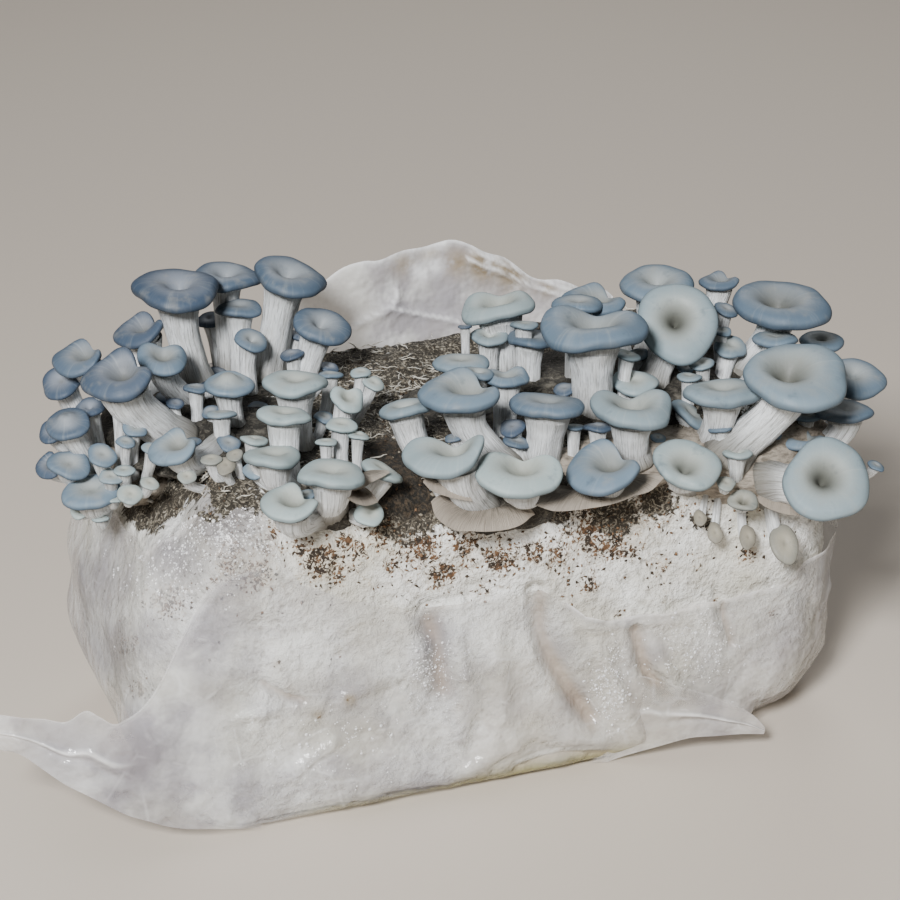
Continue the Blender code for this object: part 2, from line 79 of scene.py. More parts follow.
# The block and its bag, as in the CAD model.
BLOCK_HALF_LENGTH = 166.0
BLOCK_HALF_WIDTH = 88.0
BLOCK_HEIGHT = 158.0
BLOCK_BOTTOM = 1.3
CORNER_RADIUS = 42.0
SHOULDER_RADIUS = 34.0
BAG_CLEARANCE = 1.4
# The farthest that a rounded edge stands back, which keeps the corners' radius positive.
DEEPEST = 39.0
BAG_WALL = 0.7
LEAST_FOOT_RADIUS = 13.0
OUTLINE = 4.0 * (BLOCK_HALF_LENGTH + BLOCK_HALF_WIDTH - 2.0 * CORNER_RADIUS)
OUTLINE += 2.0 * math.pi * CORNER_RADIUS
# The outline's straight and bent parts, from the middle of the front turning right: on which
# side each starts in x and y, which way it runs in x and y, and half turns where it bends.
OUTLINE_PARTS = np.array(
    [
        (0, 1, 1, 1, 1, -1, -1, -1, -1),
        (-1, -1, -1, 1, 1, 1, 1, -1, -1),
        (1, 0, 0, 0, -1, 0, 0, 0, 1),
        (0, 0, 1, 0, 0, 0, -1, 0, 0),
        (-0.5, -0.5, 0, 0, 0.5, 0.5, 1, 1, -0.5),
    ]
)
# Where along the outline the film stands up at the back.
BACK_START = 352.0
BACK_END = 640.0

# Full-grown mushrooms: name, cap centre (across, up, depth), cap width, length as a share of the
# width, how far its top faces the eye and its lean in degrees, where the stem joins in shares of
# the radius, foot, stem width; then how blue it is from 0 to 1, and its look.
MUSHROOMS = [
    ("left_01", (-126, 76, 33), 40, 1.0, 26, 2, (0.05, 0.0), (-115, 28, 35), 16, 1.0, "funnel"),
    ("left_02", (-103, 81, 52), 30, 1.0, 26, 3, (0.0, 0.0), (-101, 35, 49), 11, 0.85, "funnel"),
    ("left_03", (-73, 81, 30), 34, 1.0, 28, 15, (-0.1, 0.0), (-84, 30, 38), 15, 0.8, "funnel"),
    ("left_04", (-58, 58, 14), 26, 0.95, 40, 22, (-0.1, 0.0), (-70, 26, 12), 12, 0.8, "funnel"),
    ("left_05", (-132, 43, 8), 23, 1.0, 38, 8, (0.0, 0.0), (-118, 22, 15), 11, 0.6, "fold"),
    ("left_06", (-152, 35, -22), 33, 0.95, 40, -8, (0.0, 0.0), (-126, 6, -16), 18, 0.95, "kidney"),
    ("left_07", (-171, 43, 2), 24, 1.0, 36, -12, (0.2, 0.0), (-139, 14, 6), 11, 0.8, "kidney"),
    ("left_08", (-127, 2, -52), 23, 1.0, 35, -12, (0.1, 0.0), (-105, 4, -40), 11, 0.4, "kidney"),
    ("left_09", (-102, 31, -10), 22, 1.0, 29, 0, (0.0, 0.0), (-99, 10, -8), 11, 0.45, "hat"),
    ("left_10", (-71, 32, -42), 27, 1.0, 22, 2, (0.0, 0.0), (-70, 2, -40), 14, 0.15, "shallow"),
    ("left_11", (-82, -2, -77), 25, 1.0, 17, 2, (0.1, 0.0), (-74, -16, -70), 12, 0.1, "shallow"),
    ("left_12", (-54, -10, -102), 29, 1.0, 19, 2, (0.0, 0.0), (-56, -24, -84), 13, 0.12, "shallow"),
    ("right_01", (66, 57, -50), 46, 0.95, 21, 0, (0.0, 0.0), (66, 20, -46), 19, 0.6, "lobed"),
    ("right_02", (95, 78, 2), 36, 1.0, 28, 0, (0.0, 0.0), (92, 38, -2), 15, 0.55, "funnel"),
    ("right_03", (105, 60, -38), 37, 1.0, 70, -3, (-0.06, 0.02), (92, 30, -30), 14, 0.25, "drop"),
    ("right_04", (153, 69, -34), 44, 1.0, 30, 2, (-0.1, 0.0), (134, 37, -33), 15, 0.7, "deep"),
    ("right_05", (160, 36, -98), 47, 1.0, 36, 0, (-0.18, 0.05), (128, -1, -86), 19, 0.35, "deep"),
    ("right_06", (187, 34, -58), 28, 1.0, 40, 12, (-0.1, 0.1), (158, 8, -62), 12, 0.6, "funnel"),
    ("right_07", (174, -13, -120), 39, 1, 64, 8, (-0.08, 0.05), (137, -22, -101), 18, 0.25, "deep"),
    ("right_08", (125, 28, -82), 35, 1.0, 16, 0, (0.0, 0.0), (120, 3, -73), 14, 0.3, "shallow"),
    ("right_09", (71, -8, -107), 34, 0.95, 35, -4, (0.1, 0.1), (72, -16, -84), 13, 0.5, "kidney"),
    ("right_10", (84, 20, -82), 37, 0.95, 21, 2, (0.0, 0.0), (84, 0, -84), 16, 0.25, "fold"),
    ("right_11", (45, 22, -74), 32, 0.95, 16, 2, (0.0, 0.0), (42, -4, -80), 16, 0.66, "shallow"),
    ("right_12", (31, -10, -108), 35, 0.9, 33, 2, (0.1, 0.1), (38, -16, -84), 15, 0.05, "crescent"),
    ("right_13", (-3, -2, -98), 34, 0.9, 23, -6, (0.25, 0.1), (12, -25, -94), 16, 0.2, "crescent"),
    ("right_14", (5, 27, -70), 38, 0.95, 23, 3, (0.1, 0.0), (24, -6, -82), 15, 0.45, "kidney"),
]

# Young mushrooms: cap centre in three numbers, cap width, facing, lean and blueness, which is
# below 0 where they are tan. A few then have a look, or a look and a foot, of their own.
YOUNG_LEFT = [
    (-97, 66, 40, 20, 25, 0, 0.75), (-91, 51, 20, 16, 35, 25, 0.65),
    (-142, 56, 40, 26, 30, -14, 1.0, "kidney"), (-179, 32, 6, 19, 50, -20, 1.0, "shallow"),
    (-176, 13, -14, 20, 42, -12, 0.85, "hat"), (-175, -6, -18, 18, 42, 14, 0.65, "shallow"),
    (-165, -18, -26, 25, 34, -4, 0.5, "shallow"), (-76, 17, -64, 23, 16, 4, 0.1),
    (-73, -24, -102, 25, 30, 4, 0.05), (-47, 24, -46, 15, 50, 30, 0.1),
    (-31, -9, -84, 20, 12, 25, 0.0), (-166, 20, 0, 14, 36, -6, 1.0),
    (-183, 9, 2, 14, 45, -20, 1.0), (-184, -7, -4, 14, 50, -20, 0.95),
    (-160, -2, -30, 13, 45, 18, 0.55), (-149, 4, -30, 9, 30, 10, 0.5),
    (-145, 10, -24, 11, 30, 15, 0.55), (-153, 25, -8, 10, 30, 0, 0.9),
    (-156, -12, -34, 10, 40, 10, 0.3), (-147, -20, -42, 11, 50, 20, -0.35),
    (-138, -15, -46, 8, 40, 20, -0.4), (-170, -27, -22, 10, 50, -10, -0.3),
    (-150, -9, -36, 9, 30, 0, 0.2), (-137, 1, -44, 9, 30, 10, 0.3),
    (-117, 29, 0, 11, 20, 0, 0.75), (-105, 17, -26, 13, 10, 0, 0.3),
    (-90, 5, -66, 12, 14, 10, 0.05), (-57, 4, -72, 9, 18, 0, 0.05),
    (-42, 7, -70, 9, 20, 10, 0.1), (-50, 12, -66, 13, 28, 5, 0.05),
    (-55, 35, -12, 11, 14, 0, 0.5), (-41, 36, -22, 9, 30, 0, 0.2),
    (-35, 31, -26, 10, 36, 20, 0.1), (-37, -29, -96, 13, 50, 15, 0.0),
    (-110, -4, -58, 9, 30, 0, -0.6), (-103, -7, -62, 8, 40, 10, -0.75),
    (-99, -2, -58, 7, 30, -10, -0.65), (-121, -12, -58, 8, 50, 15, -0.5),
    (-161, -31, -26, 8, 20, 0, 0.1), (-155, -22, -34, 7, 30, 10, 0.1),
]
YOUNG_RIGHT = [
    (22, 67, 12, 33, 22, -10, 0.15, "lobed"), (18, 53, 4, 17, 30, 0, 0.25),
    (37, 52, -8, 22, 20, 4, 0.7), (67, 69, -8, 30, 25, 6, 0.6), (26, 34, -48, 20, 20, 0, 0.5),
    (5, 41, -30, 24, 20, 0, 0.35, None, (14, 18, -34)), (-21, 20, -60, 24, 14, -10, 0.3),
    (85, 32, -50, 20, 35, 0, 0.2), (124, 78, 14, 20, 22, 0, 0.75, None, (106, 42, 0)),
    (111, 17, -62, 20, 22, 38, 0.35, "shallow"),
    (109, -6, -100, 29, 52, 8, 0.15, "cup", (108, -12, -84)),
    (171, 51, -22, 21, 25, 0, 0.5, None, (133, 34, -30)), (182, 19, -80, 25, 22, 0, 0.65),
    (162, 5, -84, 22, 20, 0, 0.5), (154, -43, -99, 13, 66, 20, -0.7, "button", (146, -14, -88)),
    (59, 68, -16, 22, 22, 0, 0.6), (13, 36, -46, 15, 18, 8, 0.45), (7, 57, 4, 7, 10, 0, 0.9),
    (34, 58, -8, 13, 14, 0, 0.3), (82, 44, -48, 12, 20, 15, 0.25),
    (129, 48, -30, 16, 40, 10, 0.35, None, (122, 20, -46)), (125, 55, -26, 9, 30, 0, 0.4),
    (127, 65, -16, 12, 30, 20, 0.7), (116, 40, -44, 11, 30, -10, 0.3),
    (110, 34, -52, 11, 20, 0, 0.3), (150, 52, -44, 20, 20, 0, 0.5, None, (132, 26, -44)),
    (132, -1, -96, 14, 14, 0, 0.05), (127, -15, -102, 9, 40, 10, -0.5),
    (135, -23, -104, 13, 50, 0, -0.6, "cup"), (164, 16, -74, 12, 25, 0, 0.45),
    (196, -7, -100, 8, 30, 20, 0.6, None, (168, -12, -96)), (57, 11, -72, 10, 10, 0, 0.6),
    (68, 11, -78, 13, 14, 0, 0.9), (137, -40, -97, 8, 60, 20, -0.8, "button", (134, -16, -88)),
    (122, -38, -94, 7, 66, 0, -0.8, "button", (124, -16, -86)),
    (115, -31, -92, 6, 50, -10, -0.8, "button", (118, -14, -84)),
]

# Gilled fans that sweep out from the foot of a cluster: where each starts in the picture and its
# depth, then its outer edge with depths.
FANS = {
    "left": [
        (
            (338, 508, -94),
            [(340, 490, -100), (352, 491, -102), (366, 486, -100), (380, 478, -97),
             (390, 471, -94)],
        ),
        ((345, 505, -90), [(344, 496, -108), (354, 504, -108), (366, 506, -105), (378, 502, -100)]),
    ],
    "right": [
        (
            (598, 500, -86),
            [(500, 494, -104), (524, 505, -109), (552, 509, -112), (580, 509, -113),
             (608, 505, -113), (634, 497, -111), (652, 489, -109), (664, 480, -105)],
        ),
        (
            (492, 514, -88),
            [(431, 501, -101), (436, 517, -106), (449, 528, -109), (470, 533, -110),
             (496, 533, -109), (520, 527, -106), (535, 515, -98)],
        ),
        ((448, 474, -80), [(423, 481, -102), (433, 491, -105), (450, 498, -106), (472, 502, -105)]),
        ((790, 492, -90), [(756, 500, -104), (772, 510, -106), (796, 516, -106), (822, 512, -102)]),
    ],
}

# Half sections in shares of a cap's radius, outwards and up: over the top, then round the rim.
TOP_LINES = {
    "funnel": [(0, -0.36), (0.08, -0.3), (0.18, -0.14), (0.3, 0.0), (0.46, 0.08), (0.62, 0.1),
               (0.76, 0.08)],
    "deep": [(0, -0.58), (0.06, -0.46), (0.15, -0.25), (0.28, -0.09), (0.44, 0.03), (0.6, 0.08),
             (0.76, 0.07)],
    "shallow": [(0, -0.06), (0.12, -0.04), (0.26, 0.02), (0.44, 0.08), (0.62, 0.1), (0.76, 0.07)],
    "hat": [(0, 0.42), (0.12, 0.4), (0.3, 0.3), (0.46, 0.14), (0.62, 0.06), (0.76, 0.05)],
    "button": [(0, 0.0), (0.12, 0.02), (0.28, 0.08), (0.46, 0.12), (0.62, 0.11), (0.76, 0.07)],
    "ring": [(0, -0.24), (0.12, -0.22), (0.26, -0.12), (0.4, 0.02), (0.54, 0.1), (0.68, 0.12),
             (0.78, 0.1)],
}
RIM_LINE = [
    (0.88, 0.04), (0.955, -0.03), (0.997, -0.11), (0.99, -0.18), (0.95, -0.22), (0.89, -0.23),
]
# A budding mushroom, in shares of its height and width, from foot to tip.
PIN_LINE = [
    (-0.2, 1.3), (0.1, 1.0), (0.45, 0.75), (0.65, 0.8), (0.78, 1.15), (0.9, 1.1), (0.98, 0.7),
    (1.0, 0.1),
]
# Shares of a stem's length, and its width there.
STEM_WIDTHS = ((0, 0.1, 0.3, 0.7, 0.86, 0.95, 1.0), (1.26, 1.12, 0.98, 0.97, 1.22, 1.3, 0.5))
# Looks: top line, notch depth, notch direction in degrees, notch width, curl, rim waves, how far
# the hollow lies towards the notch, and how much painted shade darkens the hollow.
LOOKS = {
    "funnel": ("funnel", 0.0, 0, 1.0, 0.04, 0.048, 0.0, 0.0),
    "deep": ("deep", 0.0, 0, 1.0, 0.04, 0.045, 0.0, 1.0),
    "shallow": ("shallow", 0.0, 0, 1.0, 0.06, 0.058, 0.0, 0.0),
    "hat": ("hat", 0.0, 0, 1.0, 0.06, 0.05, 0.0, 0.0),
    "button": ("button", 0.0, 0, 1.0, 0.05, 0.06, 0.0, 0.0),
    "kidney": ("ring", 0.56, 34, 0.60, 0.05, 0.03, 0.10, 0.7),
    "fold": ("ring", 0.46, 96, 0.58, 0.06, 0.05, 0.08, 0.5),
    "lobed": ("ring", 0.32, 82, 0.60, 0.07, 0.04, 0.10, 0.4),
    "crescent": ("ring", 0.62, 76, 0.70, 0.09, 0.05, 0.08, 0.5),
    "drop": ("deep", -0.12, 275, 0.55, 0.02, 0.03, 0.0, 1.0),
    "cup": ("deep", 0.22, 250, 0.42, 0.05, 0.05, 0.1, 0.8),
}

# Fleshy swellings that the stems rise from: centre and three radii.
SWELLINGS = {
    "left": [
        ((-110, 8, 155), (50, 64, 8)),
        ((-120, 20, 149), (36, 40, 14)),
        ((-92, -36, 147), (37, 34, 14)),
        ((-80, -66, 147), (22, 20, 14)),
        ((-148, 7, 141), (18, 35, 12)),
    ],
    "right": [
        ((62, -20, 155), (98, 48, 9)),
        ((56, -58, 144), (56, 32, 15)),
        ((-4, -72, 140), (36, 22, 17)),
        ((116, -64, 136), (48, 33, 20)),
    ],
}

# Which of them are pale and gilled, how deep a stem's foot ends in them, and how far back it is
# looked for.
PALE_SWELLINGS = {"left": (4,), "right": (1, 3)}
ROOTED = 2.0
FARTHEST_BACK = 70

# The bag's rim: millimetres along the outline from the middle of the front, turning right, and
# the height there.
RIM = [
    (0, 99), (9, 99), (21, 90), (30, 81), (53, 79), (84, 77), (108, 80), (165, 92), (238, 104),
    (300, 116), (330, 134), (361, 160), (373, 164), (401, 177), (415, 186), (430, 193), (442, 196),
    (450, 197), (466, 196), (485, 195), (501, 187), (522, 174), (548, 158), (590, 140), (640, 124),
    (700, 120), (760, 128), (800, 149), (822, 154), (832, 150), (838, 132), (845, 119), (868, 110),
    (903, 99),
]

# Creases of the bag's front, as lines in the picture, with their depth (in is negative) and width.
CREASES = [
    ([(636, 628), (641, 650), (649, 676), (668, 696)], -5.5, 3.0),
    ([(719, 585), (724, 615), (731, 643)], -4.0, 1.8),
    ([(537, 592), (540, 633), (550, 659), (570, 690), (591, 719)], -5.0, 4.0),
    ([(429, 617), (436, 645), (444, 690)], -4.0, 5.0),
    ([(585, 629), (612, 628), (642, 623), (680, 621), (712, 615)], 2.4, 2.2),
    ([(290, 776), (310, 758), (332, 742)], 3.2, 3.0),
    ([(224, 724), (250, 714), (278, 711)], 2.8, 2.4),
    ([(262, 684), (285, 697), (304, 701)], -3.2, 2.0),
    ([(252, 629), (280, 630)], -2.4, 1.5),
    ([(345, 700), (400, 668), (428, 650)], 2.6, 5.0),
    ([(470, 770), (530, 735), (600, 742)], 2.4, 4.0),
    ([(660, 690), (700, 706), (752, 716)], 2.8, 3.0),
    ([(600, 650), (622, 700), (640, 735)], 3.0, 4.0),
    ([(656, 650), (672, 680), (690, 694)], 2.6, 3.0),
    ([(520, 770), (560, 755), (610, 758)], -2.6, 2.6),
    ([(498, 640), (505, 700), (492, 750)], 2.6, 5.0),
    ([(330, 640), (345, 620), (372, 612)], 2.0, 2.5),
    ([(455, 640), (470, 690), (462, 740)], 2.2, 4.0),
    ([(400, 598), (440, 606), (470, 600)], -2.4, 2.2),
]

# The ear of film at the bottom left corner and the flap at the bottom right one, by stations:
# upper and lower edge in the picture, depth, and how far its two layers lie apart.
EAR = [
    ((262, 560), (262, 828), -88.5, 0.8), ((232, 572), (232, 829), -89.5, 1.6),
    ((206, 592), (206, 829), -89.5, 2.4), ((184, 632), (186, 829), -87.5, 4.0),
    ((161, 681), (165, 826), -86.0, 4.5), ((143, 707), (147, 821), -85.0, 4.0),
    ((125, 720), (129, 816), -83.5, 3.5), ((113, 724), (112, 808), -82.0, 3.0),
    ((98, 716), (98, 801), -80.0, 3.0), ((85, 711), (84, 794), -78.0, 2.6),
    ((66, 722), (64, 784), -75.0, 2.2), ((44, 719), (42, 769), -72.0, 2.0),
    ((23, 718), (21, 755), -69.0, 1.8), ((0, 715), (0, 750), -65.0, 1.5),
    ((-14, 717), (-13, 747), -61.5, 1.0), ((-20, 721), (-19, 743), -60.5, 0.5),
]
FLAP = [
    ((590, 690), (592, 768), -84.0, 0.8), ((620, 680), (618, 758), -86.5, 1.6),
    ((642, 676), (638, 752), -89.5, 2.5), ((668, 684), (660, 746), -93.0, 3.0),
    ((700, 692), (690, 738), -97.5, 3.0), ((728, 702), (716, 736), -100.5, 2.6),
    ((752, 714), (742, 734), -102.5, 2.0), ((765, 727), (764, 734), -104.0, 0.8),
]

# Patches of the picture, as centre, reach in pixels and strength. Brown bare sawdust in the crust:
PATCHES = [
    (322, 562, 18, 1.0), (300, 548, 12, 0.85), (338, 580, 10, 0.8), (255, 575, 16, 0.65),
    (270, 540, 18, 0.45), (352, 548, 22, 0.7), (380, 530, 22, 0.75), (392, 562, 10, 0.95),
    (420, 550, 26, 0.7), (440, 575, 18, 0.75), (470, 545, 26, 0.65), (482, 590, 12, 0.7),
    (500, 560, 22, 0.75), (534, 552, 12, 0.9), (560, 560, 26, 0.5), (612, 545, 16, 1.0),
    (628, 552, 11, 0.95), (590, 585, 14, 0.75), (600, 530, 34, 0.75), (618, 612, 8, 0.9),
    (660, 570, 22, 0.6), (664, 600, 12, 0.6), (700, 560, 20, 0.45), (745, 555, 12, 0.9),
    (772, 612, 8, 0.8), (822, 618, 12, 0.9), (715, 600, 10, 0.5), (166, 600, 22, 0.85),
    (226, 560, 16, 0.65), (128, 640, 16, 0.9), (140, 688, 13, 0.9), (116, 596, 12, 0.7),
    (276, 662, 5, 0.9), (345, 697, 5, 1.0), (318, 716, 5, 0.9), (336, 655, 5, 0.8),
]
# Brown stains and white blotches on the film that stands up at the back:
STAINS = [
    (458, 262, 16, 0.9), (484, 264, 18, 1.3), (510, 273, 16, 1.2), (403, 264, 13, 0.7),
    (545, 286, 12, 0.8), (430, 256, 12, 0.6),
]
BLOTCHES = [(421, 272, 8, 1.0), (434, 266, 8, 0.9)]
# Rusty spots that show through the film:
SPOTS = [
    (350, 700, 6, 1.3), (318, 715, 5, 1.2), (290, 692, 7, 0.7), (277, 665, 5, 0.8),
    (338, 649, 5, 0.7), (552, 690, 6, 0.6), (590, 728, 6, 0.6), (655, 684, 7, 0.6),
    (458, 708, 6, 0.6),
]
# Where the film looks lilac-grey, and where it is clear:
GREYED = [
    (222, 518, 44, 0.95), (180, 556, 36, 0.75), (98, 580, 34, 0.8), (105, 650, 34, 0.8),
    (150, 640, 26, 0.55), (205, 690, 22, 0.55), (60, 745, 60, 0.85), (140, 765, 50, 0.8),
    (250, 800, 34, 0.4), (436, 640, 20, 0.8), (420, 790, 30, 0.7), (560, 650, 18, 0.6),
    (575, 700, 16, 0.7), (656, 655, 16, 0.6), (700, 722, 44, 0.45), (345, 690, 30, 0.35),
    (500, 690, 26, 0.35), (790, 640, 30, 0.45), (400, 310, 80, 0.3),
]
CLEAR = [(148, 512, 30, 1.0), (134, 660, 26, 0.8)]
# Bare dark ground, and painted shadow under the left cluster and in the hollow between the
# clusters:
DARK_GROUND_AND_SHADOW = [
    (152, 512, 27, 1.3), (136, 508, 18, 1.2), (170, 500, 22, 1.4), (205, 520, 34, 0.62),
    (250, 510, 22, 0.7), (412, 482, 46, 2.6), (385, 462, 34, 2.3), (455, 500, 28, 1.8),
    (405, 500, 22, 1.6), (500, 512, 20, 1.2), (190, 484, 22, 1.3), (236, 486, 22, 1.3),
    (250, 470, 16, 1.5), (215, 468, 16, 1.5), (560, 515, 26, 1.0), (610, 512, 30, 1.1),
    (660, 500, 24, 1.1), (700, 520, 16, 1.1), (175, 590, 12, 0.6), (120, 600, 10, 0.66),
    (124, 650, 10, 0.7), (130, 690, 9, 0.75),
]
# Drops of condensation, with a reach across and a reach up:
WET = [
    (230, 520, 45, 34, 1.0), (180, 560, 36, 40, 0.4), (435, 672, 22, 34, 0.45),
    (610, 690, 16, 30, 0.5), (330, 740, 60, 30, 0.12), (690, 650, 40, 30, 0.15),
]

# Bright creases of the film at the back, as lines in the picture.
BACK_LINES = [
    [(353, 326), (372, 316), (391, 308), (420, 314), (459, 321)],
    [(473, 252), (500, 262), (525, 273), (550, 283), (575, 291)],
    [(468, 259), (497, 270), (520, 281), (545, 290), (567, 298)],
    [(391, 308), (396, 300), (398, 290)],
]

# A flake of sawdust: its corners and faces.
FLAKE = np.array([(1, 0, 0), (0, 1, 0), (-1, 0.2, 0), (0.1, -1, 0), (0.1, 0, 1), (0, 0.1, -1)])
FLAKE_FACES = [
    (0, 1, 4), (1, 2, 4), (2, 3, 4), (3, 0, 4), (1, 0, 5), (2, 1, 5), (3, 2, 5), (0, 3, 5),
]

# Lamps: name, place in metres, size and power.
LAMPS = [
    ("key", (-1.05, -1.5, 1.45), 0.40, 92.0),
    ("fill", (1.6, -1.3, 0.8), 1.3, 2.4),
    ("back", (0.6, 1.4, 1.6), 0.9, 12.0),
]


def spot(across, up, depth):
    """The point at this depth y that the eye sees this far across and up."""
    sideways = across * ACROSS[1] + up * UPWARD[1]
    nearer = (depth - sideways) / (TOWARD[1] - sideways / EYE_DISTANCE)
    shrink = 1.0 - nearer / EYE_DISTANCE
    return EYE_TARGET + (across * ACROSS + up * UPWARD) * shrink + nearer * TOWARD


def in_picture(column, row, depth):
    """The point at this depth y that shows at this place in the picture."""
    half = 0.5 * PICTURE
    return spot((column - half) * PIXEL, (half - row) * PIXEL, depth)


def seen_at(points):
    """Where points show in the picture, as columns and rows."""
    away = points - EYE_TARGET
    scale = 1.0 / (PIXEL * (1.0 - away @ TOWARD / EYE_DISTANCE))
    half = 0.5 * PICTURE
    return half + away @ ACROSS * scale, half - away @ UPWARD * scale


def held(value):
    """The value, kept from 0 to 1."""
    return np.clip(value, 0.0, 1.0)


def bell(value):
    """1 where the value is 0, and falling to 0 either side."""
    return np.exp(-(value**2))


def circle(count):
    """Evenly spaced angles of a full turn."""
    return np.linspace(0.0, 2.0 * math.pi, count, endpoint=False)


def joined(*coordinates):
    """Points from their coordinates, which are spread to one shape."""
    return np.stack(np.broadcast_arrays(*coordinates), axis=-1)


def ball(rise, turn):
    """Points of a unit ball at these angles."""
    return joined(np.cos(rise) * np.cos(turn), np.cos(rise) * np.sin(turn), np.sin(rise))


def unit(vector):
    return vector / np.linalg.norm(vector)


def axes_on(normal, helper):
    """Two axes along a surface and its normal; the first is square to the helper."""
    right = unit(np.cross(normal, helper))
    return np.array([right, np.cross(normal, right), normal])


def smooth_line(points, count):
    """Evenly spaced points of a smooth curve through these points."""
    points = np.array(points, float)
    padded = np.vstack([2 * points[0] - points[1], points, 2 * points[-1] - points[-2]])
    at = np.linspace(0.0, len(points) - 1.0001, count)
    start = at.astype(int)
    part = (at - start)[:, None]
    a, b, c, d = (padded[start + k] for k in range(4))
    square = (2 * a - 5 * b + 4 * c - d) * part**2
    return 0.5 * (2 * b + (c - a) * part + square + (3 * b - a - 3 * c + d) * part**3)


def lumps(points, size, seed):
    """Smooth noise from -1 to 1 whose lumps are about this size."""
    place = np.asarray(points, float) / size + 57.3 * seed
    cell = np.floor(place).astype(np.int64)
    part = place - cell
    part = part * part * (3.0 - 2.0 * part)
    total = np.zeros(place.shape[:-1])
    for corner in range(8):
        step = np.array([corner & 1, corner >> 1 & 1, corner >> 2 & 1])
        key = (cell + step) @ np.array([73856093, 19349663, 83492791]) + 1013 * seed
        key = (key ^ (key >> 13)) * 1274126177
        value = ((key ^ (key >> 16)) & 0xFFFF) / 32767.5 - 1.0
        total += np.prod(np.where(step == 1, part, 1.0 - part), axis=-1) * value
    return total


def ripples(turn, phases, *parts):
    """Waves round a circle: for each part, how many of them and how large they are."""
    return sum(size * np.sin(count * turn + phase) for phase, (count, size) in zip(phases, parts))


def grid_faces(rows, columns, closed, flip):
    """Quads of a grid of points. Its columns may close on themselves."""
    wrap = columns if closed else columns - 1
    i, j = np.meshgrid(np.arange(rows - 1), np.arange(wrap), indexing="ij")
    k = (j + 1) % columns
    quads = [i * columns + j, i * columns + k, (i + 1) * columns + k, (i + 1) * columns + j]
    quads = np.stack(quads, axis=-1).reshape(-1, 4)
    return quads[:, ::-1] if flip else quads


def ring_normals(points):
    """Outward normals of a grid whose rows go up and whose columns turn right, all the way."""
    along = np.roll(points, -1, axis=1) - np.roll(points, 1, axis=1)
    normal = np.cross(along, np.gradient(points, axis=0))
    return normal / (np.linalg.norm(normal, axis=-1, keepdims=True) + 1e-9)


def placed(name, data):
    """A new object in the scene."""
    made = bpy.data.objects.new(name, data)
    bpy.context.scene.collection.objects.link(made)
    return made


class Growth:
    """Points, faces and point values of one piece, gathered part by part."""

    def __init__(self):
        self.points = []
        self.faces = []
        self.slots = []
        self.values = {"share": [], "tone": [], "fibre": []}
        self.count = 0

    def add(self, points, faces, slot, share=0.0, tone=0.0, fibre=None):
        points = np.asarray(points, float).reshape(-1, 3)
        self.points.append(points)
        self.faces += (np.asarray(faces) + self.count).tolist()
        self.slots += [slot] * len(faces)
        for key, value in (("share", share), ("tone", tone)):
            self.values[key].append(np.broadcast_to(np.asarray(value, float).ravel(), len(points)))
        fibre = points * 0.1 if fibre is None else np.asarray(fibre, float).reshape(-1, 3)
        self.values["fibre"].append(fibre)
        self.count += len(points)

    def make(self, name, materials, *stands_for):
        """The object of this piece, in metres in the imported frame."""
        data = bpy.data.meshes.new(name)
        data.from_pydata(((np.vstack(self.points) + ORIGIN) * MM).tolist(), [], self.faces)
        for key, values in self.values.items():
            vector = key == "fibre"
            kept = data.attributes.new(key, "FLOAT_VECTOR" if vector else "FLOAT", "POINT")
            stacked = np.concatenate(values).astype(np.float32).ravel()
            kept.data.foreach_set("vector" if vector else "value", stacked)
        for one in materials:
            data.materials.append(one)
        data.polygons.foreach_set("material_index", self.slots)
        data.shade_smooth()
        made = placed(name, data)
        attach(made, "root")
        if stands_for:
            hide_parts(*stands_for)


